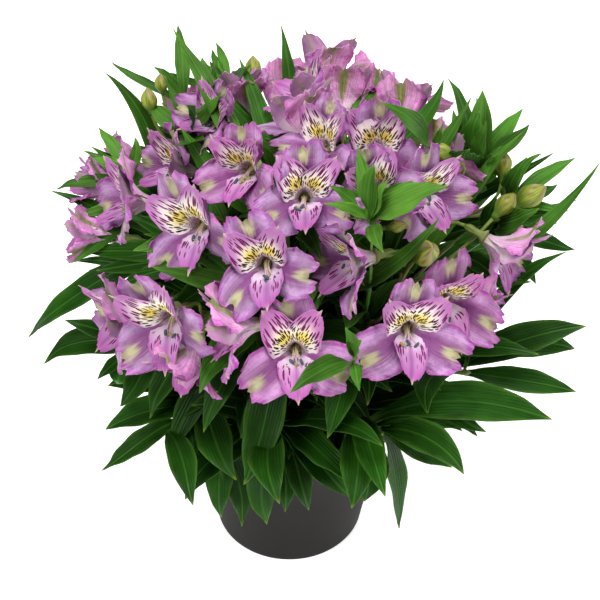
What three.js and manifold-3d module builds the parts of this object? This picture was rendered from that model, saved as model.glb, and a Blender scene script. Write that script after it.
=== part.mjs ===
// A Peruvian lily in a smooth grey pot: a filled pot, flowering stems that each
// carry an umbel of blooms and buds, and low leafy stems that lean out over the rim.
// Millimetres, +Z up, origin at the middle of the pot's underside, front towards -Y.

import * as THREE from 'three';
import { mergeVertices } from 'three/addons/utils/BufferGeometryUtils.js';
import Module from 'manifold-3d';

const wasm = await Module();
wasm.setup();

// Pot
const POT_HEIGHT = 135;
const POT_RIM_RADIUS = 85;
const POT_BASE_RADIUS = 54;
const POT_FLARE = 0.29;
const POT_WALL = 2.6;
const POT_FLOOR = 4;
const POT_SIDES = 24;
const POT_LEVELS = 3;

// Potting soil
const SOIL_TOP = 114;
const SOIL_GAP = 0.35;
const STEM_HOLE_DEPTH = 22;
const STEM_HOLE_RADIUS = 3.3;

// Stems
const STEM_FOOT_RADIUS = 2.5;
const STEM_TOP_RADIUS = 1.9;
const STEM_SIDES = 4;
const STEM_STEPS = 5;
const STEM_RISE = 62;
const UMBEL_DEPTH = 40;
const UMBEL_HEART = [6, 0, 185];
const FOOT_SPREAD = 0.52;
const FOOT_START = 8;

// Blooms
const TEPAL_THICKNESS = 0.8;
const TEPAL_CUP = 0.16;
const THROAT_DEPTH = 22;
const CORE_RADIUS = 2.4;
const CORE_SHOULDER = 3.5;
const CORE_LENGTH = 9;
const BLOOM_SEAT = 0.3;
const PEDICEL_RADIUS = 1.15;
const OVARY_RADIUS = 2.9;
const OVARY_LENGTH = 8;
const KNOB_RINGS = [[0, 3.6], [3, 3.3], [5.2, 2]];

// Leaves
const LEAF_THICKNESS = 0.8;
const LEAF_FOLD = 0.22;
const LEAF_ARCH = 0.16;
const LONG_LEAF = [[0.3, 0.72], [0.62, 1], [1, 0]];
const SHORT_LEAF = [[0.48, 1], [1, 0]];

// Clearance kept between one node's blades and the next node's
const CLEARANCE = 0.3;
const SEED_PRIME = 2147483647;

const UP = new THREE.Vector3(0, 0, 1);
const vec = (x, y, z) => new THREE.Vector3(x, y, z);
const rad = THREE.MathUtils.degToRad;

// Flowering stems and low leafy stems. A flowering stem finds its way from its
// blooms; a leafy one states its foot and its top.
const flowering = ['left', 'left_low', 'left_mid', 'top_left', 'front_left', 'front',
  'front_mid', 'front_right', 'top_right', 'top_back', 'back_left', 'right_back', 'right',
  'back'];
const leafy = {
  leafy_front_left: { foot: [-42, -44], top: [-84, -86, 176] },
  leafy_front: { foot: [-6, -62], top: [-14, -104, 182] },
  leafy_front_right: { foot: [34, -54], top: [62, -96, 186] },
  leafy_right: { foot: [60, -18], top: [122, -44, 190] },
  leafy_left: { foot: [-62, -8], top: [-116, -28, 196] },
  leafy_back_left: { foot: [-40, 40], top: [-72, 84, 192] },
  leafy_back: { foot: [4, 62], top: [8, 112, 186] },
  leafy_back_right: { foot: [50, 34], top: [96, 66, 190] },
};

// Blooms: stem, throat x, y, z, facing azimuth, facing elevation, roll, openness.
// Azimuth -90 faces the front; a positive roll turns the upper tepals to the left.
const blooms = [
  ['top_right', 57, -4, 360, -84, 48, -3, 0.9],
  ['top_left', 11, -61, 365, -88, 46, 0, 0.85],
  ['front', 5, -120, 287, -92, 33, 6, 1],
  ['front_right', 77, -100, 285, -80, 25, -4, 1],
  ['right', 102, -60, 278, -70, 28, 0, 1],
  ['front_mid', -13, -90, 337, -98, 40, 26, 0.88],
  ['left_mid', -59, -57, 341, -132, 36, 40, 0.95],
  ['left_low', -78, -92, 293, -127, 26, 34, 1],
  ['top_left', -26, -30, 364, -122, 44, 14, 0.75],
  ['front_mid', 42, -82, 330, -150, 14, 0, 0.8],
  ['front_left', -24, -112, 306, -165, 10, 0, 0.8],
  ['front_left', -64, -100, 264, -122, -22, 0, 0.75],
  ['right_back', 84, -28, 340, -62, 38, 0, 0.8],
  ['top_right', 54, -34, 350, -70, 40, 10, 0.7],
  ['top_back', 10, 6, 366, 118, 38, 0, 0.9],
  ['left', -100, -12, 320, -170, 26, 20, 0.8],
  ['left_low', -108, -48, 248, -158, 6, 0, 0.9],
  ['right', 130, -12, 284, -14, 10, 0, 0.85],
  ['right', 121, -42, 254, -22, -6, 0, 0.4],
  ['top_back', 36, 72, 332, 92, 34, 0, 0.75],
  ['top_back', 18, 46, 350, 165, 44, 0, 0.75],
  ['top_right', 28, -14, 362, -118, 52, 0, 0.7],
  ['right_back', 76, 60, 334, 70, 44, 0, 0.75],
  ['right_back', 106, 42, 318, 24, 34, 0, 0.8],
  ['back_left', -62, 50, 326, 158, 40, 0, 0.6],
  ['back_left', -30, 66, 338, 110, 60, 0, 0.55],
  ['back_left', -46, 36, 346, -150, 56, 0, 0.6],
  ['left', -122, 22, 300, 174, 28, 0, 0.4],
  ['left', -126, -6, 284, 178, 12, 0, 0.4],
  ['left_mid', -80, 7, 328, -172, 42, 0, 0.7],
  ['back', 58, 96, 298, 56, 14, 0, 1],
  ['back', 0, 118, 290, 92, 12, 0, 1],
  ['back', -58, 100, 292, 122, 14, 0, 1],
  ['back_left', -108, 50, 282, 158, 12, 0, 0.9],
  ['right_back', 112, 52, 270, 22, 8, 0, 0.9],
  ['top_back', 24, 104, 326, 84, 34, 0, 0.9],
];

// Buds: stem, middle x, y, z, azimuth, elevation, length.
const buds = [
  ['right_back', 101, 14, 336, 160, 20, 17],
  ['right_back', 143, 28, 312, 80, 64, 19],
  ['right_back', 160, 14, 298, 20, 24, 24],
  ['right', 136, 10, 292, 40, 30, 20],
  ['right', 150, -2, 284, -60, 10, 12],
  ['front_right', 86, -68, 322, -60, 54, 26],
  ['top_right', 68, -62, 340, -20, 30, 13],
  ['back_left', -92, 60, 342, 120, 70, 17],
  ['back_left', -84, 68, 350, 110, 76, 14],
  ['left_low', -96, -72, 232, -140, -24, 18],
  ['back', -24, 120, 322, 96, 46, 18],
  ['back', 88, 88, 306, 40, 40, 16],
];

// Leaves that give the outline and the front its look: tip, the place their foot
// comes from, and width. Each grows from the stem that passes nearest its foot.
const shapedLeaves = [
  [[-182, -20, 202], [-110, -30, 262], 18],
  [[-155, 10, 310], [-105, 0, 300], 12],
  [[-145, -10, 262], [-105, -15, 280], 9],
  [[-140, 0, 294], [-100, -10, 272], 13],
  [[-125, 30, 346], [-90, 15, 305], 12],
  [[-135, 20, 334], [-95, 10, 296], 10],
  [[-120, 70, 370], [-72, 38, 315], 14],
  [[-70, 75, 396], [-66, 45, 320], 15],
  [[-55, 75, 370], [-60, 50, 310], 12],
  [[-86, 62, 368], [-66, 45, 330], 10],
  [[-50, 86, 378], [-30, 55, 320], 12],
  [[-44, 72, 366], [-26, 50, 320], 12],
  [[0, 100, 376], [0, 70, 310], 12],
  [[-24, 66, 372], [-10, 44, 315], 13],
  [[50, 90, 358], [50, 64, 300], 12],
  [[105, 60, 362], [100, 36, 300], 14],
  [[60, -16, 398], [86, 0, 335], 15],
  [[125, 50, 360], [112, 26, 300], 14],
  [[155, 40, 350], [125, 25, 300], 12],
  [[160, 34, 346], [126, 18, 296], 12],
  [[186, 20, 332], [138, 8, 282], 12],
  [[168, 30, 322], [128, 18, 290], 10],
  [[184, 10, 290], [130, 8, 272], 9],
  [[186, -5, 266], [125, 0, 258], 11],
  [[190, 14, 306], [134, 8, 290], 8],
  [[165, -20, 256], [120, -10, 250], 13],
  [[206, -30, 226], [124, -24, 215], 22],
  [[198, -58, 186], [106, -44, 215], 17],
  [[178, -78, 180], [84, -55, 200], 27],
  [[160, -50, 226], [115, -36, 205], 15],
  [[80, -104, 96], [62, -80, 180], 22],
  [[110, -100, 156], [55, -75, 195], 24],
  [[118, -84, 176], [70, -66, 210], 16],
  [[50, -126, 150], [38, -82, 215], 28],
  [[25, -132, 222], [56, -90, 236], 22],
  [[42, -122, 150], [6, -80, 185], 19],
  [[15, -112, 124], [8, -74, 170], 16],
  [[-2, -110, 120], [-2, -70, 165], 15],
  [[-30, -132, 176], [20, -88, 226], 27],
  [[-15, -108, 104], [-16, -74, 170], 20],
  [[-32, -102, 94], [-40, -66, 160], 21],
  [[-47, -98, 100], [-46, -62, 158], 19],
  [[-30, -122, 190], [-34, -78, 215], 20],
  [[-54, -120, 214], [-44, -80, 230], 17],
  [[-80, -96, 164], [-54, -62, 200], 19],
  [[-66, -98, 158], [-56, -62, 185], 15],
  [[-95, -82, 186], [-60, -54, 216], 19],
  [[-115, -62, 176], [-74, -44, 205], 17],
  [[-118, -46, 178], [-84, -32, 210], 15],
  [[-130, -50, 190], [-96, -36, 205], 9],
  [[-150, -30, 226], [-110, -26, 210], 12],
  [[-5, -150, 300], [38, -100, 276], 18],
  [[-80, -98, 338], [-42, -68, 290], 15],
  [[90, -70, 382], [66, -70, 350], 16],
  [[42, -44, 388], [40, -50, 350], 12],
  [[52, -56, 382], [48, -58, 346], 11],
  [[70, -60, 372], [58, -60, 340], 12],
  [[-90, -56, 328], [-52, -60, 316], 14],
  [[-66, 20, 370], [-48, 10, 340], 16],
  [[-46, 60, 356], [-36, 40, 334], 10],
  [[-4, -106, 318], [14, -95, 280], 14],
  [[36, -110, 300], [52, -88, 276], 14],
  [[-16, -60, 316], [-26, -50, 290], 12],
  [[26, -40, 346], [22, -50, 306], 12],
];

// Leaves that a rule places: how many on each flowering and each leafy stem.
const RULE_LEAVES_FLOWERING = 7;
const RULE_LEAVES_LEAFY = 5;
const GOLDEN_TURN = 137.5;

const leafGreen = new THREE.MeshStandardMaterial({ color: 0x2f6b24, roughness: 0.5 });
const tepalLilac = new THREE.MeshStandardMaterial({
  color: 0xc389cf, roughness: 0.6, side: THREE.DoubleSide });
const potGrey = new THREE.MeshStandardMaterial({ color: 0x4c4a49, roughness: 0.7 });
const soilBrown = new THREE.MeshStandardMaterial({ color: 0x2c211a, roughness: 0.95 });

// A repeatable random draw between 0 and 1.
function seeded(seed) {
  let state = (seed * 7919 + 17) % SEED_PRIME;
  const draw = () => {
    state = (state * 16807) % SEED_PRIME;
    return state / SEED_PRIME;
  };
  draw();
  draw();
  return draw;
}

function solidFrom(positions, triangles) {
  let volume = 0;
  const point = (i) => vec(positions[3 * i], positions[3 * i + 1], positions[3 * i + 2]);
  for (const [a, b, c] of triangles) {
    volume += point(a).dot(point(b).cross(point(c)));
  }
  const corners = volume < 0 ? triangles.map(([a, b, c]) => [a, c, b]) : triangles;
  return new wasm.Manifold(new wasm.Mesh({
    numProp: 3,
    vertProperties: new Float32Array(positions),
    triVerts: new Uint32Array(corners.flat()),
  }));
}

function turnedSolid(outline) {
  const geometry = new THREE.LatheGeometry(outline, POT_SIDES);
  geometry.rotateX(Math.PI / 2);
  geometry.deleteAttribute('normal');
  geometry.deleteAttribute('uv');
  const merged = mergeVertices(geometry, 1e-3);
  const index = [...merged.index.array];
  const triangles = [];
  for (let i = 0; i < index.length; i += 3) {
    const [a, b, c] = index.slice(i, i + 3);
    if (a !== b && b !== c && a !== c) triangles.push([a, b, c]);
  }
  return solidFrom([...merged.attributes.position.array], triangles);
}

function geometryFrom(solid) {
  const { numProp, vertProperties, triVerts } = solid.getMesh();
  const geometry = new THREE.BufferGeometry();
  const positions = new Float32Array(vertProperties.length / numProp * 3);
  for (let i = 0; i < positions.length / 3; i += 1) {
    for (let k = 0; k < 3; k += 1) positions[3 * i + k] = vertProperties[i * numProp + k];
  }
  geometry.setAttribute('position', new THREE.BufferAttribute(positions, 3));
  geometry.setIndex(new THREE.BufferAttribute(new Uint32Array(triVerts), 1));
  geometry.computeVertexNormals();
  return geometry;
}

// The corners of a rod at each point of its path.
function rodRings(points, radii, sides, reference) {
  return points.map((point, i) => {
    const before = points[Math.max(i - 1, 0)];
    const after = points[Math.min(i + 1, points.length - 1)];
    const tangent = after.clone().sub(before).normalize();
    const across = reference.clone().addScaledVector(tangent, -reference.dot(tangent))
      .normalize();
    const over = tangent.clone().cross(across);
    return Array.from({ length: sides }, (_, k) => {
      const angle = k / sides * 2 * Math.PI;
      return point.clone().addScaledVector(across, radii[i] * Math.cos(angle))
        .addScaledVector(over, radii[i] * Math.sin(angle));
    });
  });
}

// A solid through rings of corners, closed at both ends.
function loftSolid(rings) {
  const positions = rings.flat().flatMap(({ x, y, z }) => [x, y, z]);
  const sides = rings[0].length;
  const triangles = [];
  for (let i = 0; i + 1 < rings.length; i += 1) {
    for (let k = 0; k < sides; k += 1) {
      const a = i * sides + k;
      const b = i * sides + (k + 1) % sides;
      triangles.push([a, b, b + sides], [a, b + sides, a + sides]);
    }
  }
  const last = (rings.length - 1) * sides;
  for (let k = 1; k + 1 < sides; k += 1) {
    triangles.push([0, k + 1, k], [last, last + k, last + k + 1]);
  }
  return solidFrom(positions, triangles);
}

function rodSolid(points, radii, sides, reference) {
  return loftSolid(rodRings(points, radii, sides, reference));
}

// A thin blade: three points across at each station, folded a little along its
// middle, and split into triangles alike on both faces. A station of no width
// closes to an edge, and the root is a plain slot of four corners.
function ringAt({ middle, side, normal, width }, fold, half, grow, addPoint) {
  const put = (across, height) => addPoint(middle.clone().addScaledVector(side, across)
    .addScaledVector(normal, height));
  if (width === 0) {
    const top = put(0, half);
    const under = put(0, -half);
    return [top, top, top, under, under, under];
  }
  const reach = width / 2 + grow;
  const lift = fold * width / 2;
  return [put(-reach, lift + half), put(0, half), put(reach, lift + half),
    put(-reach, lift - half), put(0, -half), put(reach, lift - half)];
}

function rootAt({ middle, side, normal, width }, half, grow, addPoint) {
  const reach = width / 2 + grow;
  const [tl, tr, ul, ur] = [[-reach, half], [reach, half], [-reach, -half], [reach, -half]]
    .map(([across, height]) => addPoint(middle.clone().addScaledVector(side, across)
      .addScaledVector(normal, height)));
  return [tl, tl, tr, ul, ul, ur];
}

function addQuad(triangles, a, b, c, d) {
  for (const [p, q, r] of [[a, b, c], [a, c, d]]) {
    if (p !== q && q !== r && p !== r) triangles.push([p, q, r]);
  }
}

function bladeFaces(rings, triangles) {
  for (let i = 0; i + 1 < rings.length; i += 1) {
    const [tl, tm, tr, ul, um, ur] = rings[i];
    const [ntl, ntm, ntr, nul, num, nur] = rings[i + 1];
    addQuad(triangles, tl, tm, ntm, ntl);
    addQuad(triangles, ntm, tm, tr, ntr);
    addQuad(triangles, ul, nul, num, um);
    addQuad(triangles, num, nur, ur, um);
    addQuad(triangles, tl, ntl, nul, ul);
    addQuad(triangles, ntr, tr, ur, nur);
  }
}

function bladeSolid(stations, fold, thickness, grow) {
  const positions = [];
  const addPoint = (corner) => positions.push(corner.x, corner.y, corner.z) / 3 - 1;
  const half = thickness / 2 + grow;
  const rings = stations.map((station, i) => (i === 0
    ? rootAt(station, half, grow, addPoint)
    : ringAt(station, fold, half, grow, addPoint)));
  const triangles = [];
  bladeFaces(rings, triangles);
  addQuad(triangles, rings[0][0], rings[0][3], rings[0][5], rings[0][2]);
  return solidFrom(positions, triangles);
}

// Everything placed so far, so that the next piece can be bent clear of it.
const placed = [];

function boxOf(solid) {
  const { min, max } = solid.boundingBox();
  return { min, max };
}

function boxesMeet(a, b) {
  return [0, 1, 2].every((k) => a.min[k] <= b.max[k] && b.min[k] <= a.max[k]);
}

function keep(owner, solid) {
  placed.push({ owner, solid, box: boxOf(solid) });
}

function isClear(solid, ignored) {
  const box = boxOf(solid);
  for (const other of placed) {
    if (ignored.includes(other.owner) || !boxesMeet(box, other.box)) continue;
    const shared = solid.intersect(other.solid);
    const touching = !shared.isEmpty();
    shared.delete();
    if (touching) return false;
  }
  return true;
}

// Pot and soil
function potRadius(height) {
  const t = height / POT_HEIGHT;
  return POT_BASE_RADIUS + (POT_RIM_RADIUS - POT_BASE_RADIUS)
    * ((1 - POT_FLARE) * t + POT_FLARE * t ** 3);
}

function potSolid() {
  const outline = [new THREE.Vector2(0, 0)];
  for (let i = 0; i <= POT_LEVELS; i += 1) {
    const height = POT_HEIGHT * i / POT_LEVELS;
    outline.push(new THREE.Vector2(potRadius(height), height));
  }
  for (let i = POT_LEVELS; i >= 0; i -= 1) {
    const height = i === 0 ? POT_FLOOR : POT_HEIGHT * i / POT_LEVELS;
    outline.push(new THREE.Vector2(potRadius(height) - POT_WALL, height));
  }
  outline.push(new THREE.Vector2(0, POT_FLOOR));
  return turnedSolid(outline);
}

function soilSolid(feet) {
  const outline = [new THREE.Vector2(0, POT_FLOOR + SOIL_GAP)];
  const levels = [POT_FLOOR + SOIL_GAP, POT_HEIGHT / 3, POT_HEIGHT * 2 / 3, SOIL_TOP];
  for (const height of levels) {
    outline.push(new THREE.Vector2(chordRadius(height) - POT_WALL - SOIL_GAP, height));
  }
  outline.push(new THREE.Vector2(0, SOIL_TOP));
  let soil = turnedSolid(outline);
  for (const [x, y] of feet) {
    const hole = rodSolid([vec(x, y, SOIL_TOP - STEM_HOLE_DEPTH), vec(x, y, SOIL_TOP + 2)],
      [STEM_HOLE_RADIUS, STEM_HOLE_RADIUS], STEM_SIDES, vec(1, 0, 0));
    soil = soil.subtract(hole);
  }
  return soil;
}

// The pot's wall runs straight between its levels, and the soil follows it.
function chordRadius(height) {
  const step = POT_HEIGHT / POT_LEVELS;
  const high = (Math.floor(height / step) + 1) * step;
  const low = Math.max(high - step, POT_FLOOR);
  const share = (height - low) / (high - low);
  return potRadius(low) + (potRadius(high) - potRadius(low)) * share;
}

// Bloom frames and tepals
function facingFrame(azimuth, elevation, roll) {
  const facing = vec(Math.cos(rad(azimuth)) * Math.cos(rad(elevation)),
    Math.sin(rad(azimuth)) * Math.cos(rad(elevation)), Math.sin(rad(elevation)));
  const upright = UP.clone().addScaledVector(facing, -facing.z).normalize()
    .applyAxisAngle(facing, rad(roll));
  const right = upright.clone().cross(facing);
  return { facing, upright, right };
}

// The six tepals: widths at the stations, and how far the tip spreads and reaches.
// The three outer ones are broad, and each grows from one side of the six-sided core.
const tepalKinds = {
  outer: { stations: [0, 0.36, 0.78, 1], widths: [3.4, 8, 31, 0], spread: 36, reach: 36,
    belly: 17, rise: 30 },
  upper: { stations: [0, 0.4, 0.76, 1], widths: [3.4, 4.5, 23, 0], spread: 28, reach: 43,
    belly: 11, rise: 33 },
  lower: { stations: [0, 0.4, 0.76, 1], widths: [3.4, 5, 21, 0], spread: 27, reach: 40,
    belly: 12, rise: 31 },
};
const tepalRing = [['upper', 30, 12], ['outer', 90, 0], ['upper', 150, -12],
  ['outer', 210, 0], ['lower', 270, 0], ['outer', 330, 0]];

function tepalStations([kind, rootAngle, turn], openness, frame, base) {
  const { stations, widths, spread, reach, belly, rise } = tepalKinds[kind];
  const shut = 1 - openness;
  const curve = new THREE.CubicBezierCurve(
    new THREE.Vector2(CORE_SHOULDER, CORE_LENGTH - TEPAL_THICKNESS / 2),
    new THREE.Vector2(CORE_SHOULDER + 2, CORE_LENGTH + 8),
    new THREE.Vector2(belly * (0.35 + 0.65 * openness), rise),
    new THREE.Vector2(spread * openness + 3 * shut, reach + 6 * shut));
  return stations.map((t, i) => {
    const place = curve.getPoint(t);
    const slope = curve.getTangent(t);
    const angle = rad(rootAngle + turn * t);
    const outward = frame.right.clone().multiplyScalar(Math.cos(angle))
      .addScaledVector(frame.upright, Math.sin(angle));
    return {
      middle: base.clone().addScaledVector(outward, place.x)
        .addScaledVector(frame.facing, place.y),
      side: outward.clone().cross(frame.facing),
      normal: outward.clone().multiplyScalar(-slope.y)
        .addScaledVector(frame.facing, slope.x),
      width: i === 0 ? widths[i] : widths[i] * (0.4 + 0.6 * openness),
    };
  });
}

function coreRing(frame, base, along, radius) {
  return tepalRing.map((_, k) => {
    const angle = k / tepalRing.length * 2 * Math.PI;
    return base.clone().addScaledVector(frame.facing, along)
      .addScaledVector(frame.right, radius * Math.cos(angle))
      .addScaledVector(frame.upright, radius * Math.sin(angle));
  });
}

// The whole bloom in one skin: the core's top band has a tepal on each of its sides.
function bloomSolid(frame, base, openness) {
  const positions = [];
  const addPoint = (corner) => positions.push(corner.x, corner.y, corner.z) / 3 - 1;
  const triangles = [];
  const [under, low, high] = [[0, CORE_RADIUS], [CORE_LENGTH - TEPAL_THICKNESS,
    CORE_SHOULDER], [CORE_LENGTH, CORE_SHOULDER]]
    .map(([along, radius]) => coreRing(frame, base, along, radius).map(addPoint));
  const sides = tepalRing.length;
  tepalRing.forEach((tepal, k) => {
    const next = (k + 1) % sides;
    addQuad(triangles, under[k], under[next], low[next], low[k]);
    const stations = tepalStations(tepal, openness, frame, base).slice(1);
    const root = [high[next], high[next], high[k], low[next], low[next], low[k]];
    const rings = stations.map((station) => ringAt(station, TEPAL_CUP,
      TEPAL_THICKNESS / 2, 0, addPoint));
    bladeFaces([root, ...rings], triangles);
  });
  for (let k = 1; k + 1 < sides; k += 1) {
    triangles.push([high[0], high[k], high[k + 1]], [under[0], under[k + 1], under[k]]);
  }
  return solidFrom(positions, triangles);
}

function bloomProbes(frame, base, openness, grow) {
  const blades = tepalRing.map((tepal) => bladeSolid(
    tepalStations(tepal, openness, frame, base), TEPAL_CUP, TEPAL_THICKNESS, grow));
  const core = rodSolid([base, base.clone().addScaledVector(frame.facing, CORE_LENGTH)],
    [CORE_RADIUS + grow, CORE_SHOULDER + grow], tepalRing.length, frame.right);
  return [core, ...blades];
}

// Where a bloom may stand: its own place first, then places a little further off.
const BLOOM_TRIES = 140;

function bloomPlace(index, attempt) {
  const [, x, y, z, azimuth, elevation, roll] = blooms[index];
  const draw = seeded(1000 + index * 101 + attempt * 7);
  const reach = attempt === 0 ? 0 : 2 + 0.11 * attempt;
  const turn = attempt === 0 ? 0 : 5 + 0.2 * attempt;
  const jitter = () => 2 * draw() - 1;
  const frame = facingFrame(azimuth + turn * jitter(), elevation + turn * jitter(),
    roll + turn * jitter());
  const throat = vec(x, y, z)
    .addScaledVector(frame.facing, 1.6 * reach * jitter())
    .addScaledVector(frame.right, 0.6 * reach * jitter())
    .addScaledVector(frame.upright, 0.6 * reach * jitter());
  return { frame, base: throat.addScaledVector(frame.facing, -THROAT_DEPTH) };
}

// Stems
function stemCurve(foot, top, lean) {
  const start = vec(foot[0], foot[1], SOIL_TOP);
  return new THREE.CubicBezierCurve3(start, start.clone().addScaledVector(UP, STEM_RISE),
    top.clone().addScaledVector(lean, -STEM_RISE * 0.55), top);
}

// A stem's path and girth: from the bottom of its hole up its curve, and for a
// flowering stem on into the knob where its pedicels part.
function stemPath(curve, knob) {
  const points = [curve.v0.clone().addScaledVector(UP, -STEM_HOLE_DEPTH + BLOOM_SEAT)];
  const radii = [STEM_FOOT_RADIUS];
  for (let i = 0; i <= STEM_STEPS; i += 1) {
    const t = i / STEM_STEPS;
    points.push(curve.getPoint(t));
    radii.push(STEM_FOOT_RADIUS + (STEM_TOP_RADIUS - STEM_FOOT_RADIUS) * t);
  }
  points[1].z += 1;
  if (knob) {
    radii.pop();
    points.pop();
    for (const [along, radius] of KNOB_RINGS) {
      points.push(curve.v3.clone().addScaledVector(curve.getTangent(1), along));
      radii.push(radius);
    }
  }
  return { points, radii };
}

// A leaf leaves its stem through a slot: one side of a thin band of the stem.
function bandAt(stem, share) {
  const place = share * STEM_STEPS;
  const step = Math.floor(place);
  return stem.rings[step + 1].map((corner, k) => corner.clone()
    .lerp(stem.rings[step + 2][k], place - step));
}

function slotsAt(stem, share) {
  const reach = LEAF_THICKNESS / 2 / stem.length;
  const low = bandAt(stem, share - reach);
  const high = bandAt(stem, share + reach);
  return low.map((_, k) => {
    const next = (k + 1) % STEM_SIDES;
    const middle = low[k].clone().add(low[next]).add(high[k]).add(high[next])
      .multiplyScalar(0.25);
    return { k, next, middle, side: high[k].clone().sub(high[next]).normalize(),
      normal: high[k].clone().sub(low[k]).normalize(),
      width: high[k].distanceTo(high[next]) };
  });
}

const stems = {};
for (const name of flowering) {
  const own = blooms.map((row, index) => ({ row, index })).filter(({ row }) => row[0] === name);
  const middle = vec(0, 0, 0);
  for (const { index } of own) middle.add(bloomPlace(index, 0).base);
  middle.multiplyScalar(1 / own.length);
  const inward = vec(...UMBEL_HEART).sub(middle).normalize();
  const top = middle.addScaledVector(inward, UMBEL_DEPTH);
  const flat = Math.hypot(top.x, top.y);
  const out = FOOT_START + FOOT_SPREAD * flat;
  const foot = [top.x / flat * out, top.y / flat * out];
  stems[name] = { foot, top, curve: stemCurve(foot, top, inward.clone().negate()) };
}
for (const [name, { foot, top }] of Object.entries(leafy)) {
  const end = vec(...top);
  const lean = vec(top[0], top[1], 0).normalize().addScaledVector(UP, 0.25).normalize();
  stems[name] = { foot, top: end, curve: stemCurve(foot, end, lean) };
}

const pot = potSolid();
const soil = soilSolid(Object.values(stems).map(({ foot }) => foot));
keep('pot', pot);
keep('soil', soil);
for (const [name, stem] of Object.entries(stems)) {
  const { points, radii } = stemPath(stem.curve, flowering.includes(name));
  stem.rings = rodRings(points, radii, STEM_SIDES, vec(1, 0, 0));
  stem.length = stem.curve.getLength();
  stem.leaves = [];
  stem.stalks = [];
  stem.faces = knobFaces(stem);
  keep(`${name}_rod`, loftSolid(stem.rings));
}

// The faces of the knob that ends a flowering stem: each can carry one stalk.
function knobFaces({ rings }) {
  const last = rings.length - 1;
  const faces = [];
  for (let i = last - KNOB_RINGS.length + 1; i < last; i += 1) {
    for (let k = 0; k < STEM_SIDES; k += 1) {
      const next = (k + 1) % STEM_SIDES;
      faces.push({ ring: i, k,
        corners: [rings[i][k], rings[i][next], rings[i + 1][next], rings[i + 1][k]] });
    }
  }
  faces.push({ ring: last, k: 0, corners: rings[last] });
  for (const face of faces) {
    const [a, b, c, d] = face.corners;
    face.middle = a.clone().add(b).add(c).add(d).multiplyScalar(0.25);
    face.normal = c.clone().sub(a).cross(d.clone().sub(b)).normalize();
  }
  return faces;
}

// A stalk widens out of its face of the knob and is round from there on.
function stalkRings(face, points, radii) {
  const rings = rodRings(points, radii, STEM_SIDES, vec(0.3, 0.4, 1));
  const misfit = (turn) => rings[0].reduce((sum, corner, k) => sum
    + corner.distanceTo(face.corners[(k + turn) % STEM_SIDES]), 0);
  const turn = [0, 1, 2, 3].sort((a, b) => misfit(a) - misfit(b))[0];
  return [rings[0].map((_, k) => face.corners[(k + turn) % STEM_SIDES]), ...rings];
}

// Whether a stalk clears every other piece, and its own stem but for its root.
function stalkFits(stem, face, points, radii) {
  const wide = stalkRings(face, points, radii.map((radius) => radius + CLEARANCE));
  if (!isClear(loftSolid(wide), [`${stem}_rod`, stem])) return false;
  const exact = loftSolid(stalkRings(face, points, radii));
  return placed.every(({ owner, solid }) => {
    if (owner !== stem && owner !== `${stem}_rod`) return true;
    const shared = exact.intersect(solid);
    const volume = shared.volume();
    shared.delete();
    return volume < STALK_ALLOWANCE;
  });
}

// Grows a stalk from the free face that looks its way best, bending it a little
// more at each try.
const STALK_TRIES = 8;
const STALK_FACES = 4;
const STALK_ALLOWANCE = 0.002;

function growStalk(stem, neck, facing, endPoints, endRadii) {
  const free = stems[stem].faces.filter((face) => !face.taken)
    .map((face) => ({ face, fit: face.normal.dot(neck.clone().sub(face.middle).normalize()) }))
    .filter(({ fit }) => fit > 0.2).sort((a, b) => b.fit - a.fit).slice(0, STALK_FACES);
  for (const { face } of free) {
    const span = neck.distanceTo(face.middle);
    for (let attempt = 0; attempt < STALK_TRIES; attempt += 1) {
      const draw = seeded(5000 + attempt);
      const sideways = vec(2 * draw() - 1, 2 * draw() - 1, 2 * draw() - 1)
        .multiplyScalar(attempt * 1.6);
      const curve = new THREE.CubicBezierCurve3(face.middle,
        face.middle.clone().addScaledVector(face.normal, 0.22 * span),
        neck.clone().addScaledVector(facing, -0.36 * span).add(sideways), neck);
      const points = [curve.getPoint(0.5), ...endPoints];
      const radii = [PEDICEL_RADIUS, ...endRadii];
      if (!stalkFits(stem, face, points, radii)) continue;
      face.taken = true;
      const rings = stalkRings(face, points, radii);
      keep(stem, loftSolid(rings));
      stems[stem].stalks.push({ face, rings });
      return true;
    }
  }
  return false;
}

const bloomSolids = [];

// Buds
const BUD_TRIES = 40;

buds.forEach(([stem, x, y, z, azimuth, elevation, length], index) => {
  for (let attempt = 0; attempt < BUD_TRIES; attempt += 1) {
    const draw = seeded(9000 + index * 31 + attempt);
    const jitter = () => (2 * draw() - 1) * attempt * 0.4;
    const { facing } = facingFrame(azimuth, elevation, 0);
    const middle = vec(x + jitter(), y + jitter(), z + jitter());
    const [neck, low, high, tip] = [-0.6, -0.25, 0.15, 0.5]
      .map((share) => middle.clone().addScaledVector(facing, length * share));
    const girth = length * 0.28;
    if (growStalk(stem, neck, facing, [neck, low, high, tip],
      [PEDICEL_RADIUS + 0.2, girth * 0.85, girth, 0.8])) return;
  }
});

// Blooms
blooms.forEach(([stem, , , , , , , openness], index) => {
  for (let attempt = 0; attempt < BLOOM_TRIES; attempt += 1) {
    const { frame, base } = bloomPlace(index, attempt);
    const probes = bloomProbes(frame, base, openness, CLEARANCE);
    if (!probes.every((probe) => isClear(probe, []))) continue;
    const seat = base.clone().addScaledVector(frame.facing, -BLOOM_SEAT);
    const neck = seat.clone().addScaledVector(frame.facing, -OVARY_LENGTH);
    const ovary = seat.clone().addScaledVector(frame.facing, -OVARY_LENGTH / 2);
    for (const piece of bloomProbes(frame, base, openness, 0)) keep('blooms', piece);
    if (growStalk(stem, neck, frame.facing, [ovary, seat], [OVARY_RADIUS, CORE_RADIUS])) {
      bloomSolids[index] = bloomSolid(frame, base, openness);
      return;
    }
    placed.splice(placed.length - probes.length);
  }
});

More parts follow.
